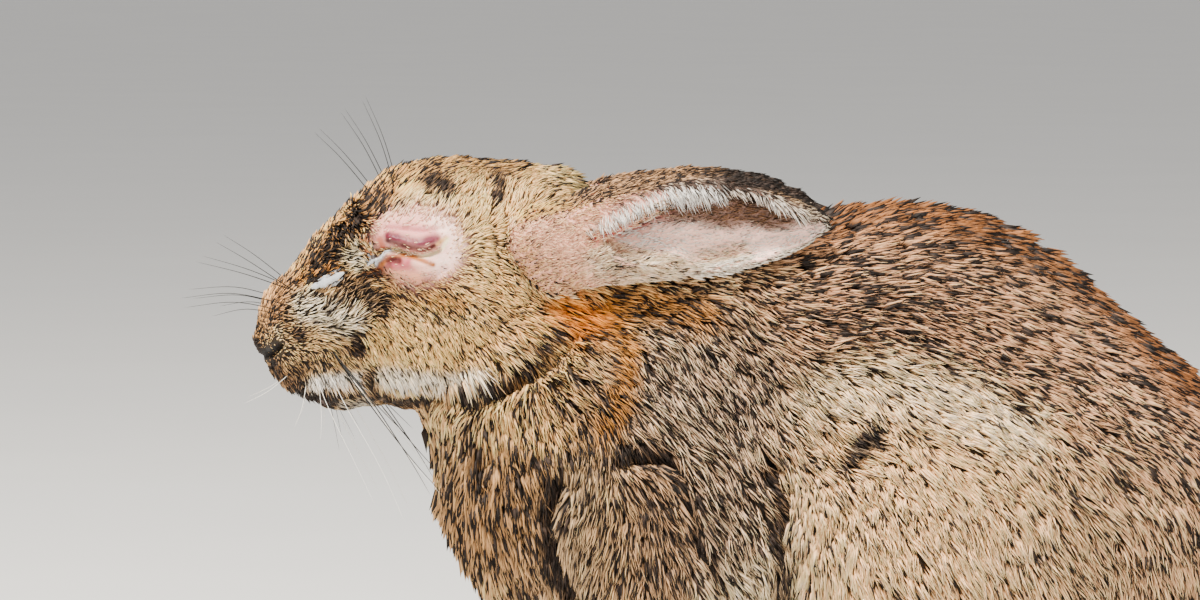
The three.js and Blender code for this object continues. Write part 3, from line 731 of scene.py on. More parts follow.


# The ears' marks, with painted shade in their upper hollows.
def ear_marks_and_shade(p, n):
    t, angle, outside = ear_place(p, n)
    out = ramp(outside, -0.3, 0.2)
    above = ramp(p[:, 2] - (152.6 + 0.27 * (p[:, 1] - 62)), -1.2, 1.2)
    low_front = stroke(p, [(64, 146), (67, 138), (74, 136)], 5)
    tan = np.clip(0.1 + 0.4 * noise(p, 4.5, 21) + 0.4 * low_front, 0, 0.8)
    marks = np.tile(mark(*EAR_COAT["back"]), (len(p), 1))
    for name, weight in (
        ("inside", (1 - out) * ramp(t, 0.32, 0.4) * ramp(p[:, 2], 138, 141)),
        # painted shade under the fold
        ("hollow_shade", (1 - out) * in_shade(p)),
        ("base", (1 - ramp(t, 0.4, 0.55)) * out * (1 - above)),
        ("crown", tan * (1 - ramp(t, 0.34, 0.5)) * out),
        ("crown", above * (1 - ramp(t, 0.3, 0.46)) * out),
        ("grizzle", ramp(t, 0.26, 0.36) * ramp(angle, 48, 66) * (1 - ramp(angle, 150, 200)) * out),
        ("grizzle", over_fringe(p)),
        ("fringe", fringe_share(p, n)),
        ("wall", stroke(p, LOWER_WALL, 4.2, 4)),
        ("rim", ramp(t, 0.56, 0.68) * (1 - ramp(np.abs(angle - 284), 14, 24)) * 0.95),
        ("tip", ramp(t, 0.9, 0.97) * 0.7),
        ("black", ramp(t, 0.6, 0.78) * ramp(angle, 50, 62) * (1 - ramp(angle, 110, 150))),
    ):
        blend(marks, weight, mark(*EAR_COAT[name]))
    return marks


# Bare or thinly haired skin, and one painted highlight: (path, width, colour, strength).
BARE_SKIN_AND_HIGHLIGHT = [
    (ROUND_EYE, 5.6, "eba396", 1.0),
    ([(43, 154.6), (48.2, 150.6), (48, 146), (44.6, 143.4)], 2.7, "fad0c2", 0.95),
    ([(33, 154.8), (41, 155.8)], 2.4, "e4a698", 0.85),
    ([(33, 152.2), (38, 152), (43, 151.6)], 1.4, "d07c84", 0.6),
    ([(32.8, 150.4), (36, 149.6), (40, 148.9), (44, 149.9)], 1.3, "641e30", 0.95),
    ([(32.6, 149.2), (35, 148.4), (38, 147.6), (41.4, 147.1), (43.6, 148)], 0.7, "420c14", 0.9),
    ([(33.6, 147.2), (37.5, 146), (41, 145.5), (45, 146.9), (46.8, 149.6)], 0.55, "e2dab0", 0.9),
    ([(44.6, 148.4), (46.4, 150)], 0.55, "c89c5c", 0.7),
    ([(34, 143.4), (38, 143.8)], 2.1, "a84452", 0.9),
    # A painted highlight on the lower lid's swelling.
    ([(39.4, 143.8), (42, 142.8)], 1.3, "f0bca8", 0.8),
    ([(31, 143.2), (33.6, 145.2), (37, 145.7), (40, 144.9), (43.4, 143.6)], 0.6, "96541f", 0.95),
    ([(32.8, 142.8), (33.2, 144.6), (35.4, 144.4)], 0.9, "561c1c", 0.95),
    ([(26.8, 148.8), (28, 146.6)], 1.0, "8a4120", 0.9),
    ([(30.8, 149.4), (31.6, 147.4)], 0.9, "9a4a34", 0.85),
    ([(26.6, 141.6), (31.6, 142.2)], 0.9, "7c3f22", 0.8),
    ([(33, 141), (40, 140.4)], 1.6, "e4a07c", 0.7),
    (THREADS[0], 0.6, "bdb6ba", 1.0),
    (THREADS[1], 0.5, "c6bcbc", 0.9),
    ([(29.2, 143.6)], 0.9, "b4bac4", 1.0),
]


# ---------- materials ----------
class Nodes:
    """A short way to build a material's nodes."""

    def __init__(self, name):
        self.material = bpy.data.materials.new(name)
        self.material.use_nodes = True
        self.tree = self.material.node_tree
        self.shader = self.tree.nodes["Principled BSDF"]

    def fill(self, socket, value):
        if isinstance(value, bpy.types.NodeSocket):
            self.tree.links.new(value, socket)
        else:
            socket.default_value = value

    def add(self, kind, **values):
        node = self.tree.nodes.new("ShaderNode" + kind)
        for key, value in values.items():
            if hasattr(node, key):
                setattr(node, key, value)
            else:
                self.fill(next(s for s in node.inputs if s.name == key and s.enabled), value)
        return node

    def attribute(self, name, output):
        return self.add("Attribute", attribute_name=name).outputs[output]

    def noise(self, scale, detail=3.0):
        place = self.add("TexCoord").outputs["Object"]
        return self.add("TexNoise", Vector=place, Scale=scale, Detail=detail, Roughness=0.55).outputs[0]

    def scaled(self, value, lo, hi):
        node = self.add("MapRange", Value=value)
        node.inputs["To Min"].default_value, node.inputs["To Max"].default_value = lo, hi
        return node.outputs["Result"]

    def varied(self, colour, amount, scale):
        """A colour whose brightness wanders by a share of amount."""
        node = self.add("VectorMath", operation="SCALE")
        self.fill(node.inputs[0], colour)
        self.fill(node.inputs["Scale"], self.scaled(self.noise(scale), 1 - amount, 1 + amount))
        return node.outputs["Vector"]


def surface(name, vary, rough, colour=None, bump=None, **fixed):
    """A material: vary is (share, scale), rough (scale or an attribute's name, lowest, highest) and bump
    (scale, detail, strength, distance). With no colour, the attribute tint is its colour."""
    m = Nodes(name)
    if colour:
        source = m.add("RGB").outputs[0]
        source.default_value = (*colour, 1)
    else:
        source = m.attribute("tint", "Color")
    m.fill(m.shader.inputs["Base Color"], m.varied(source, *vary))
    grain, lo, hi = rough
    value = m.attribute(grain, "Fac") if isinstance(grain, str) else m.noise(grain)
    m.fill(m.shader.inputs["Roughness"], m.scaled(value, lo, hi))
    if bump:
        scale, detail, strength, distance = bump
        node = m.add("Bump", Height=m.noise(scale, detail), Strength=strength, Distance=distance)
        m.fill(m.shader.inputs["Normal"], node.outputs["Normal"])
    for socket, value in fixed.items():
        m.shader.inputs[socket.replace("_", " ")].default_value = value
    return m.material


def paint(me, name, colours):
    layer = me.attributes.new(name, "FLOAT_COLOR", "POINT")
    rgba = np.ones((len(colours), 4), np.float32)
    rgba[:, :3] = colours
    layer.data.foreach_set("color", rgba.ravel())


def smooth_shaded(me):
    me.polygons.foreach_set("use_smooth", np.ones(len(me.polygons), bool))


# ---------- the skin's colours ----------
# The skin under the coat is painted near black: the underfur's own dark colour and painted shade deep in the
# coat.
UNDERCOAT_AND_DEPTH_SHADE = 0.035  # how bright the skin is under the coat, against the coat
# Skin round the nose and the mouth, on both sides of the middle line: (path, width, colour, strength).
NOSE_SKIN = [
    (NOSTRIL, 1.2, "0e0a09", 1.0),
    ([(0, 0.5, 127), (0, 1.2, 121.5), (0, 3.5, 118), (0, 7.5, 114)], 1.6, "2a1d19", 1.0),
    ([(0, 9, 112.6), (4, 11.5, 112.2), (5.5, 15, 112), (6.6, 20, 112.6)], 1.2, "1d1512", 1.0),
    ([(14, 110.6), (18.6, 110)], 1.8, "3a2822", 1.0),  # under the lip
]
# Wet skin: (path, width).
WET = [
    ([(28, 145), (33, 148), (38, 146.9), (45, 147.6)], 1.8),
    ([(33, 150), (40, 149)], 1.6),
]
EAR_SKIN = {
    "outside": "4a382e",
    "bulb": "dca48a",
    "wall": "e8a898",
    "inside": "ffd4c6",
    "peach": "eeb498",
    "rose": "e8b49a",
    # Painted shade in the upper hollow under the ear's fold.
    "hollow_shade": "6a4c40",
    # Reddish skin at the opening, darkened as painted shade under the fold's edge.
    "shaded_slit": "8e2c2a",
}


def paint_skin(me):
    co, _ = mesh_arrays(me)
    p, n = to_body(co), vertex_normals(me)
    kinds = nearest_nodes(co)
    marks = coat_marks_and_shade(p, n, kinds)
    colours = marks[:, :3] * (UNDERCOAT_AND_DEPTH_SHADE * (1.2 - 0.6 * marks[:, 3:]))
    ears = on_part(kinds, "ear")
    colours[ears] = ear_skin_colours(p[ears], n[ears])
    outward = ramp(n[:, 0] * side_signs(p), 0.0, 0.4) * ~ears
    for path, width, code, strength in BARE_SKIN_AND_HIGHLIGHT:
        weight = stroke(p, curved(path), width, 3) * strength * outward * (1 + 0.25 * noise(p, 1.3, 5))
        blend(colours, np.clip(weight, 0, 1), rgb(code))
    for path, width, code, strength in NOSE_SKIN:
        blend(colours, stroke(p, path, width, 3) * strength, rgb(code))
    paint(me, "tint", colours)
    wet = np.zeros(len(p))
    for path, width in WET:
        wet = np.maximum(wet, stroke(p, path, width))
    layer = me.attributes.new("wet", "FLOAT", "POINT")
    layer.data.foreach_set("value", wet.astype(np.float32))


def ear_skin_colours(p, n):
    t, _, outside = ear_place(p, n)
    inside = 1 - ramp(outside, -0.25, 0.25)
    colours = np.tile(rgb(EAR_SKIN["outside"]), (len(p), 1))
    patchy = 0.5 + 0.5 * noise(p, 7, 11)
    for name, weight in (
        ("bulb", 1 - ramp(t, 0.5, 0.62)),
        ("wall", stroke(p, [(76, 155), (88, 158), (96, 160)], 3.0) * 0.8),
        ("inside", inside * ramp(t, 0.32, 0.4) * ramp(p[:, 2], 138, 141)),
        ("peach", inside * patchy * 0.4),
        ("rose", stroke(p, LOWER_WALL, 4.5) * 0.8),
        # painted shade under the fold
        ("hollow_shade", inside * in_shade(p) * 0.9),
        # reddish skin darkened as painted shade under the fold
        ("shaded_slit", stroke(p, [(79.5, 149.2), (86, 151.2), (93, 153.6)], 1.3) * ramp(p[:, 1], 78, 81)),
        ("shaded_slit", inside * stroke(p, [(88, 153), (96, 156)], 3.2) * 0.7),
        ("outside", over_fringe(p)),
    ):
        blend(colours, weight, rgb(EAR_SKIN[name]))
    return colours


# ---------- tufts ----------
# Places where the coat differs: (path, width, then factors for its length, number and lift).
TRIMS = [
    (ROUND_EYE, 6.0, 0.7, 0.34, 0.6),
    ([(31, 150), (38, 149.6), (45, 149.4), (45, 145), (38, 143.4), (31, 144.4)], 3.4, 0.6, 0.1, 0.7),
    ([(2, 127), (2, 122)], 3.5, 0.4, 1.2, 0.8),
    (NOSTRIL, 2.0, 0.5, 0.06, 0.5),
    ([(7, 124), (12, 119)], 7, 0.6, 1.2, 0.9),
    ([(8, 138), (16, 148)], 6, 0.7, 1.2, 1.0),
    ([(14, 132), (22, 131)], 5, 1.4, 0.8, 1.5),
    ([(34, 160), (14, 144)], 4, 1.4, 0.85, 1.2),
    (LIP_FRINGE, 2.0, 1.3, 1.2, 1.1),
    (UNDER_LIP, 1.8, 0.4, 0.5, 0.5),
    (JAW_FRINGE, 2.6, 1.45, 1.3, 1.2),
    ([(24, 110.4), (42, 110.8)], 3, 0.7, 1.1, 0.6),
    ([(50, 92), (54, 76)], 9, 1.15, 1.0, 1.2),
    ([(181, 153)], 4, 1.7, 1.3, 2.1),
    ([(73, 164)], 4, 1.5, 1.2, 1.3),
    ([(91, 141)], 1.2, 3.0, 1.0, 1.5),
]


def coat_sizes(p, n, kinds, edges):
    """Each tuft's length, width, lift and number per mm2 at each point of the skin."""
    own = COAT_ROWS[kinds, 1:]
    ears = on_part(kinds, "ear")
    sizes = spread(own, edges, 6)
    sizes[ears] = own[ears]
    for path, width, *factors in TRIMS:
        weight = stroke(p, path, width, 3) * ~ears
        for column, factor in zip((0, 3, 2), factors):
            sizes[:, column] *= 1 + weight * (factor - 1)
    sizes[ears] *= ear_sizes(p[ears], n[ears])
    return sizes


# The long white fringe of the ear's upper rim: (path, width, how much of its full length).
FRINGES = [
    ([(83.5, 154.4), (87, 156.4), (92, 158.8), (99, 161.4), (105, 162.2), (111, 162.2)], 1.4, 1.0),
    ([(79.5, 152.2), (83.5, 154.4)], 0.9, 0.4),
    ([(111, 162.4), (118, 161.4), (124, 159), (130, 156)], 1.1, 0.5),
]


def fringe_share(p, n):
    """How far points of the ears are in its white fringe."""
    share = np.zeros(len(p))
    for path, width, full in FRINGES:
        share = np.maximum(share, full * stroke(p, path, width, 4))
    return share * ramp(n[:, 0] * side_signs(p), -0.1, 0.3)


def ear_sizes(p, n):
    """Factors for the ear's tufts: short inside, long along the upper rim's fringe."""
    t, angle, outside = ear_place(p, n)
    inside = (1 - ramp(outside, -0.3, 0.2)) * (1 - over_fringe(p))
    bulb = (1 - ramp(t, 0.34, 0.46)) * (1 - inside)
    wall, fringe = stroke(p, LOWER_WALL, 3.6, 4), fringe_share(p, n)
    top = ramp(angle, 48, 66) * (1 - ramp(angle, 130, 180)) * ramp(outside, 0, 0.4)
    length = 1 + 0.6 * wall + 1.5 * fringe + 0.3 * top
    width = (1 - 0.25 * inside) * (1 - 0.15 * fringe) + 0.4 * top
    number = (1 - 0.66 * inside * (1 - in_shade(p))) * (1 - 0.15 * bulb) + 0.5 * wall
    number = number * (1 - 0.2 * fringe) + 0.3 * top
    return np.stack([length, width, np.ones(len(p)), number], axis=1)


def sample_roots(tris, areas, dense, rng):
    """Evenly spaced random places on the triangles: which triangle, and the weights of its corners."""
    wanted = np.cumsum(areas * dense[tris].mean(1))
    marks = np.arange(int(wanted[-1])) + rng.random(int(wanted[-1]))
    face = np.minimum(np.searchsorted(wanted, marks), len(tris) - 1)
    u, v = rng.random((2, len(face)))
    swap = u + v > 1
    u[swap], v[swap] = 1 - u[swap], 1 - v[swap]
    return face, np.stack([1 - u - v, u, v], axis=1)


LEG_BANDS = ["foreleg", "forepaw", "hindfoot"]  # kept side by side on the legs' map
PATCH = 0.003  # how far across a tuft is on the unwrap
SHOWS = 0.55  # how far along a tuft the part lies that is seen
WAIST = 0.42  # how far along a tuft is widest
PATCH_SPOTS = np.array([(0.5, 0), (0, WAIST), (1, WAIST), (0.5, 1)]) * PATCH
TUFT_FACES = np.array([(0, 2, 1), (1, 2, 3), (0, 1, 3), (0, 3, 2)])
LOCK = 16  # tufts that lean together
STRAY = 7  # degrees that a tuft turns from its neighbours
GATHER = 0.38  # how far their tips come together
ABOVE_FLOOR = 0.05  # mm


def unwrap(p, n, kinds):
    """Where each point lies when the skin is unrolled round its own part's axis, from 0 to 1 each way."""
    uv = np.zeros((len(p), 2))
    for i, name in enumerate(COAT_NAMES):
        here = kinds == i
        if not here.any():
            continue
        _, along, centre, course = along_path(p[here], AXES[name])
        off = mirrored(p[here]) - centre
        if name in ("head", "neck", "trunk"):
            off[:, 0] *= side_signs(p[here])
        across = unit(np.cross(course, (1.0, 0, 0)))
        turn = np.arctan2(off[:, 0], dots(off, across)) / (2 * math.pi) + 0.5
        if name in LEG_BANDS:
            along = (along * 0.95 + LEG_BANDS.index(name)) / len(LEG_BANDS)
        if name == "ear":
            _, _, outside = ear_place(p[here], n[here])
            turn = turn * 0.48 + 0.5 * (outside < 0)
        uv[here] = np.stack([along, turn], axis=1)
    return uv


def locks_of(root, rng):
    """For each tuft, the number of the lock that it belongs to, and which tuft is each lock's middle."""
    middles = rng.choice(len(root), len(root) // LOCK, replace=False)
    tree = KDTree(len(middles))
    for i, place in enumerate(root[middles]):
        tree.insert(place, i)
    tree.balance()
    return np.array([tree.find(place)[1] for place in root]), middles


def tuft_shapes(root, n, lie, sizes, rng):
    """Four corners for each tuft: its root, the two sides of its waist, and its tip."""
    count = len(root)
    length, width, lift = sizes[:, 0], sizes[:, 1], np.radians(sizes[:, 2])
    lock, middles = locks_of(root, rng)
    own = rng.normal(0, 1, (len(middles), 3))[lock]
    turn = np.radians(rng.normal(0, STRAY, count) + 9 * noise(root, 9.0, 1) + 8 * own[:, 0])
    side = unit(np.cross(n, lie))
    course = np.cos(turn)[:, None] * lie + np.sin(turn)[:, None] * side
    side = unit(np.cross(n, course))
    length = length * np.clip(1 + 0.14 * own[:, 1] + rng.normal(0, 0.14, count), 0.5, 1.6)
    width = width * rng.uniform(0.7, 1.3, count)
    rise = lift * np.clip(1 + 0.22 * own[:, 2], 0.5, 1.7) * rng.uniform(0.75, 1.3, count)

    def at(share, angle):
        step = (length * share)[:, None]
        return root + step * (np.cos(angle)[:, None] * course + np.sin(angle)[:, None] * n)

    waist = at(WAIST, rise * 1.3)
    tip = at(1.0, rise * 0.8)
    inward = root[middles][lock] - root
    inward -= dots(inward, course)[:, None] * course
    reach = np.linalg.norm(inward, axis=1, keepdims=True)
    inward *= np.minimum(1, 0.5 * length[:, None] / np.maximum(reach, 1e-6))
    tip += GATHER * inward
    waist += 0.3 * GATHER * inward
    half = (width / 2)[:, None] * side
    twist = (rng.normal(0, 0.25, count) * width)[:, None] * n
    return np.stack([root - 0.4 * n, waist - half - twist, waist + half + twist, tip], axis=1)


EVEN_BELOW = 0.015  # share of dark hairs below which the hairs hardly differ
DARK_HAIR = rgb("2a1e17")
BLACK_TIP = rgb("140e0b")
WAIST_SHARE, TIP_SHARE = 0.7, 2.1  # how bright a pale tuft is there, against its mark
# Dark roots stand for the hairs' dark base and for painted shade near the skin.
ROOT_SHARE, EVEN_ROOT_SHARE = 0.1, 0.6  # how bright its root is, against its waist
BRIGHTEST = 0.95  # of a tip, in any colour
HUE_KEPT = 0.4  # how far a tip brighter than that keeps its hue


def tuft_colours(marks, root, rng):
    """A colour for each tuft's corners: dark at the root, partly as painted shade, and pale or dark from the
    waist to the tip.
    """
    count = len(marks)
    patchy = 0.16 * noise(root, 2.6, 7) + 0.08 * noise(root, 12.0, 8)
    dark = (rng.random(count) < marks[:, 3] + patchy * (marks[:, 3] > 0.03))[:, None]
    shade = (rng.uniform(0.5, 1.4, count) * (1 + 0.16 * noise(root, 4.0, 9)))[:, None]
    shade = np.where(marks[:, 3:] < EVEN_BELOW, 0.75 + 0.25 * shade, shade)
    band = marks[:, :3] * shade
    waist = np.where(dark, DARK_HAIR * shade * rng.uniform(0.5, 2.0, (count, 1)), band * WAIST_SHARE)
    tip = np.where(dark, BLACK_TIP * shade, band * TIP_SHARE)
    same_hue = tip * np.minimum(1, BRIGHTEST / tip.max(1, keepdims=True))
    tip = np.minimum(tip, BRIGHTEST) * (1 - HUE_KEPT) + same_hue * HUE_KEPT
    root_share = np.where(marks[:, 3:] < EVEN_BELOW, EVEN_ROOT_SHARE, ROOT_SHARE)
    return np.stack([waist * root_share, waist, waist, tip], axis=1)


def piece_of(kinds, sides):
    """Each root's coat piece: the legs share one piece a side, and the neck and the tail are whole."""
    names = []
    for name in COAT_NAMES:
        kind = "legs" if name in LEG_BANDS else name
        names.append([f"coat_{kind}" + f"_{s}" * (kind not in ("neck", "tail")) for s in ("right", "left")])
    return np.array(names)[kinds, (sides > 0).astype(int)]


def make_tufts(name, corners, colours, spots):
    me = bpy.data.meshes.new(name)
    count, each = corners.shape[:2]
    faces = (TUFT_FACES[None] + each * np.arange(count)[:, None, None]).reshape(-1, 3)
    me.vertices.add(count * each)
    me.loops.add(faces.size)
    me.polygons.add(len(faces))
    me.vertices.foreach_set("co", to_row(corners.reshape(-1, 3)).astype(np.float32).ravel())
    me.loops.foreach_set("vertex_index", faces.astype(np.int32).ravel())
    me.polygons.foreach_set("loop_start", np.arange(0, faces.size, 3, dtype=np.int32))
    me.update(calc_edges=True)
    paint(me, "tint", colours.reshape(-1, 3))
    uv = (spots[:, None] + PATCH_SPOTS).reshape(-1, 2)
    layer = me.uv_layers.new(name="OFBake")
    layer.data.foreach_set("uv", uv[faces.ravel()].astype(np.float32).ravel())
    smooth_shaded(me)
    me.materials.append(HAIR)
    me.validate()
    return add_object(name, me)


def spread_out(uv):
    """Each piece's unwrap, stretched to fill its map."""
    lo, hi = uv.min(0), uv.max(0)
    return 0.004 + (uv - lo) / np.maximum(hi - lo, 1e-6) * (1 - 0.008 - PATCH)


def grow_coat(skin):
    me = skin.data
    co, edges = mesh_arrays(me)
    p, n = to_body(co), vertex_normals(me)
    kinds = nearest_nodes(co)
    lie = flat_on(combed(p, kinds), n)
    lie = flat_on(spread(lie, edges, 5), n)
    sizes = coat_sizes(p, n, kinds, edges)
    me.calc_loop_triangles()
    tris = values_of(me.loop_triangles, "vertices", kind=np.int32)
    a, b, c = (p[tris[:, i]] for i in range(3))
    areas = np.linalg.norm(np.cross(b - a, c - a), axis=1) / 2
    rng = np.random.default_rng(7)
    face, weights = sample_roots(tris, areas, sizes[:, 3], rng)

    def at_roots(values):
        return (values[tris[face]] * weights[..., None]).sum(1)

    root, rn = at_roots(p), unit(at_roots(n))
    rl, rs = flat_on(at_roots(lie), rn), at_roots(sizes)
    rk = kinds[tris[face, 0]]
    fringe(root, rn, rl, rk)
    seen = SHOWS * rs[:, :1] * ~on_part(rk, "ear")[:, None]
    marks = coat_marks_and_shade(root + seen * rl, rn, rk)
    corners = tuft_shapes(root, rn, rl, rs, rng)
    corners[..., 2] = np.maximum(corners[..., 2], ABOVE_FLOOR)
    colours = tuft_colours(marks, root, rng)
    pieces = piece_of(rk, root[:, 0])
    uv = unwrap(root, rn, rk)
    for name in sorted(set(pieces)):
        here = pieces == name
        yield make_tufts(name, corners[here], colours[here], spread_out(uv[here]))


def fringe(root, n, lie, kinds):
    """Turns the hairs of the ear's upper rim down over its opening."""
    ears = on_part(kinds, "ear")
    weight = np.minimum(1, 1.6 * fringe_share(root[ears], n[ears]))[:, None]
    hang = np.tile(unit(np.array([0.3, 0.3, -0.9])), (len(weight), 1))
    hang[:, 0] *= side_signs(root[ears])
    lie[ears] = unit(lie[ears] + weight * (hang - lie[ears]) * 0.95)


# ---------- whiskers and discharge ----------
# One side's whiskers: root (y, z), then points (how far out from the root, y, z), and whether it is white.
WHISKERS = [
    ((10, 133), [(8, -4, 136.4), (14, -16.6, 135.6)], False),
    ((11, 131), [(8, -3, 134.4), (16, -15.6, 133.4)], False),
    ((12, 129.6), [(9, 0, 132.8), (16, -9, 131.6)], False),
    ((9, 137), [(6, -2, 141), (12, -13, 144)], False),
    ((11, 136), [(9, 0, 144), (15, -8, 149)], False),
    ((14, 124), [(5, 19, 113), (11, 25, 102)], False),
    ((18, 124), [(8, 27, 113.6), (16, 37, 99), (20, 43, 89)], False),
    ((19, 122.6), [(7, 27, 112), (13, 38, 98), (16, 47, 88)], False),
    ((20, 121), [(5, 28, 112), (9, 38, 102)], False),
    ((17, 116), [(4, 19, 109), (7, 21, 99)], False),
    ((15, 117), [(7, 19, 108), (11, 25, 96), (13, 30, 85.6)], True),
    ((18, 118), [(7, 23, 109), (12, 31, 95), (14, 37, 82)], True),
    ((22, 118), [(5, 28, 111), (9, 38, 97), (11, 46, 88)], True),
    ((9, 117), [(3, 4, 113), (6, -2, 110)], True),
    ((13, 115), [(3, 12, 109), (4, 10, 104)], True),
    ((16, 114), [(3, 16.6, 107), (4, 16.4, 101)], True),
    ((33, 159), [(1, 27, 171), (3, 21.4, 179.6)], False),
    ((34.5, 160), [(1, 31, 172), (4, 26.4, 182.6)], False),
    ((31, 157), [(1, 22, 168), (4, 15, 175)], False),
]
SIDES = (1, "left"), (-1, "right")
PALE_RADIUS, SHORT_RADIUS, LONG_RADIUS = 0.078, 0.13, 0.221  # of whiskers; the long ones end behind y = 30
DROP_COLOUR = "b2b4b8"
# Wet drops under the eye: (path, half width).
DROPS = [
    ([(14, 137.6), (16.5, 138.5), (19, 139.6), (22.4, 141.6)], 1.05),
    ([(15.6, 139.2), (18.4, 140.6), (21.4, 142.4)], 0.5),
    ([(16.6, 137.4), (19.6, 138.4), (22, 140.2)], 0.4),
    ([(27.6, 143), (28.8, 144.2), (30.4, 144.8)], 0.55),
    ([(29.4, 144.2), (31, 145.2), (31.8, 146.4), (33.6, 147)], 0.34),
    ([(27.2, 147), (28.2, 145.4), (28.8, 143.8)], 0.34),
    ([(25.4, 145.2), (26.8, 144.6), (28.6, 143.8)], 0.3),
]


def tube(line, radii, sides, flat=1.0, up=(0.3, 0.2, 1.0)):
    """A closed tube along a line, with a point at each end: its corners and faces."""
    course = unit(np.gradient(line, axis=0))
    across = unit(np.cross(course, np.asarray(up, float)))
    over = np.cross(across, course)
    turn = 2 * math.pi * np.arange(sides) / sides
    ring = np.cos(turn)[None, :, None] * over[:, None] + flat * np.sin(turn)[None, :, None] * across[:, None]
    rings = (line[:, None] + radii[:, None, None] * ring)[1:-1].reshape(-1, 3)
    corners = np.vstack([line[0], rings, line[-1]])
    last = len(corners) - 1
    count = len(line) - 2
    faces = []
    for k in range(sides):
        j = (k + 1) % sides
        faces.append((0, 1 + j, 1 + k))
        faces.append((last, 1 + (count - 1) * sides + k, 1 + (count - 1) * sides + j))
        for i in range(count - 1):
            a, b = 1 + i * sides, 1 + (i + 1) * sides
            faces.append((a + k, a + j, b + j, b + k))
    return corners, faces


def joined(name, shapes, material):
    """One object of several closed shapes, each (corners, faces, colour)."""
    me = bpy.data.meshes.new(name)
    corners, faces, colours = [], [], []
    start = 0
    for points, polygons, colour in shapes:
        corners.append(to_row(points))
        faces += [tuple(start + v for v in polygon) for polygon in polygons]
        colours.append(np.tile(colour, (len(points), 1)))
        start += len(points)
    me.from_pydata(np.vstack(corners).tolist(), [], faces)
    paint(me, "tint", np.vstack(colours))
    smooth_shaded(me)
    me.materials.append(material)
    return add_object(name, me)


def surface_x(tree, y, z, side):
    """How far out the skin is at a height and a distance from the nose, on one side."""
    start = Vector(to_row([(side * 60, y, z)])[0])
    spot = tree.ray_cast(start, Vector((-side, 0, 0)))[0]
    return to_body([spot])[0][0]


def add_whiskers(tree):
    rng = np.random.default_rng(11)
    black, white = rgb("0c0a09"), rgb("e9e4da")
    for side, word in SIDES:
        shapes = []
        for (y, z), bends, pale in WHISKERS:
            x = surface_x(tree, y, z, side)
            line = [(x - side * 0.6, y, z)]
            line += [(x + side * out * rng.uniform(0.8, 1.2), yy, zz) for out, yy, zz in bends]
            line = smooth_line(line, 16)
            radius = PALE_RADIUS if pale else LONG_RADIUS if bends[-1][1] >= 30 else SHORT_RADIUS
            radii = radius * (1 - 0.8 * np.linspace(0, 1, len(line)))
            shapes.append((*tube(line, radii, 5), white if pale else black))
        yield joined(f"whiskers_{word}", shapes, WHISKER)


def add_drops(tree):
    for side, word in SIDES:
        shapes = []
        for number, (path, half) in enumerate(DROPS):
            line = smooth_line([(0, y, z) for y, z in path], 24)
            for point in line:
                point[0] = surface_x(tree, point[1], point[2], side) + side * (half * 0.75 + 0.25)
            share = np.linspace(0, 1, len(line))
            lumpy = 1 + 0.16 * np.sin(share * 17 + 2 * number) + 0.1 * np.sin(share * 41 + number)
            radii = half * np.sqrt(np.maximum(np.sin(math.pi * share), 0)) * lumpy
            shapes.append((*tube(line, radii, 12, flat=0.7, up=(0, 0.4, 1)), rgb(DROP_COLOUR)))
        yield joined(f"discharge_{word}", shapes, DISCHARGE)


# ---------- the rabbit ----------
SKIN = surface(
    "skin", (0.14, 700.0), ("wet", 0.68, 0.36), bump=(1500.0, 4.0, 0.5, 0.0004), Specular_IOR_Level=0.25,
    Subsurface_Weight=0.25, Subsurface_Radius=(1.0, 0.35, 0.25), Subsurface_Scale=0.0012,
)
HAIR = surface("coat", (0.12, 900.0), (400.0, 0.62, 0.82), Specular_IOR_Level=0.3)
WHISKER = surface("whisker", (0.1, 500.0), (300.0, 0.35, 0.5), Specular_IOR_Level=0.2)
DISCHARGE = surface(
    "discharge", (0.1, 900.0), (600.0, 0.15, 0.35), bump=(900.0, 3.0, 0.4, 0.0003),
    Subsurface_Weight=0.4, Subsurface_Radius=(1.0, 0.9, 0.8), Subsurface_Scale=0.001,
)
CLAW = surface(
    "claw", (0.3, 500.0), (900.0, 0.55, 0.75), (0.035, 0.026, 0.02), (1200.0, 3.0, 0.2, 0.0002),
    Specular_IOR_Level=0.25,
)
EYE = surface("eye", (0.4, 300.0), (300.0, 0.08, 0.16), (0.02, 0.011, 0.007), Coat_Weight=0.6)
FLOOR = surface("floor", (0.03, 6.0), (20.0, 0.6, 0.75), (0.84, 0.83, 0.81))

skin = build_skin()
paint_skin(skin.data)
smooth_shaded(skin.data)
skin.data.materials.clear()
skin.data.materials.append(SKIN)
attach(skin, "root")
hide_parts(*FLESH, *EARS)

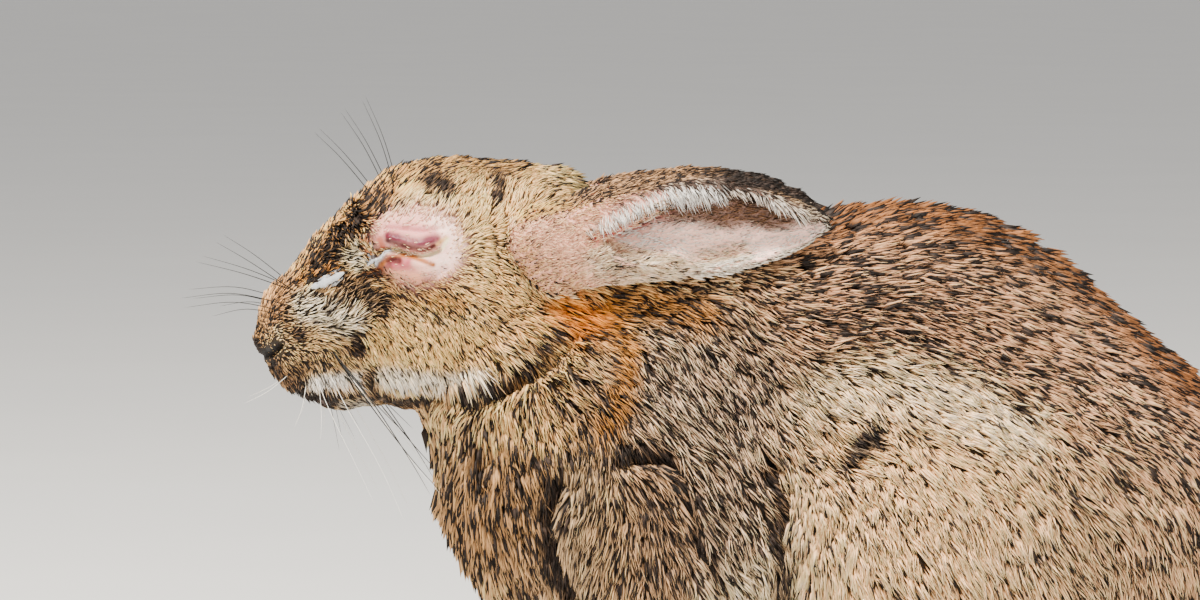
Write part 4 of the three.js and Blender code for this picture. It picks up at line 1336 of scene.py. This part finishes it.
shape = bmesh.new()
shape.from_mesh(skin.data)
skin_tree = BVHTree.FromBMesh(shape)
shape.free()
whiskers, drops = add_whiskers(skin_tree), add_drops(skin_tree)
for pieces, slot in ((grow_coat(skin), "coat"), (whiskers, "coat"), (drops, "eye")):
    for piece in pieces:
        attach(piece, "root")

for start, material in (("claw", CLAW), ("eye", EYE)):
    for name, ob in NODES.items():
        if name.startswith(start):
            ob.data.materials.clear()
            ob.data.materials.append(material)


# ---------- the stage, the lights and the camera ----------
FLOOR_HALF = 30.0
AIM = Vector((0, 0, 0.1))
# Place, watts, size.
LIGHTS = [((1.05, -0.65, 2.45), 245, 0.42), ((1.5, 1.2, 0.8), 34, 1.5)]
LIGHT_COLOUR = (1, 0.95, 0.86)
SKY = (0.9, 0.89, 0.88, 1)
SKY_STRENGTH = 0.66
LENS = 315
LOOKS_AT = (8, 82.86, 134.5)  # body millimetres
DISTANCE = 2.5
LOOKS_DOWN = math.radians(2.5)

floor_mesh = bpy.data.meshes.new("floor")
corners = [(-1, -1), (1, -1), (1, 1), (-1, 1)]
floor_mesh.from_pydata([(FLOOR_HALF * a, FLOOR_HALF * b, 0) for a, b in corners], [], [(0, 1, 2, 3)])
floor_mesh.materials.append(FLOOR)
add_object("floor", floor_mesh)

for number, (place, watts, size) in enumerate(LIGHTS):
    light = bpy.data.lights.new(f"light_{number}", "AREA")
    light.energy, light.size, light.color = watts, size, LIGHT_COLOUR
    lamp = add_object(light.name, light)
    lamp.location = place
    lamp.rotation_euler = (AIM - lamp.location).to_track_quat("-Z", "Y").to_euler()

world = bpy.data.worlds.new("sky")
world.use_nodes = True
sky = world.node_tree.nodes["Background"]
sky.inputs["Color"].default_value = SKY
sky.inputs["Strength"].default_value = SKY_STRENGTH
bpy.context.scene.world = world

lens = bpy.data.cameras.new("camera")
lens.lens, lens.sensor_width, lens.clip_end = LENS, 36, 100
camera = add_object("camera", lens)
target = Vector(to_row([LOOKS_AT])[0])
camera.location = target + DISTANCE * Vector((math.cos(LOOKS_DOWN), 0, math.sin(LOOKS_DOWN)))
camera.rotation_euler = (target - camera.location).to_track_quat("-Z", "Y").to_euler()
bpy.context.scene.camera = camera
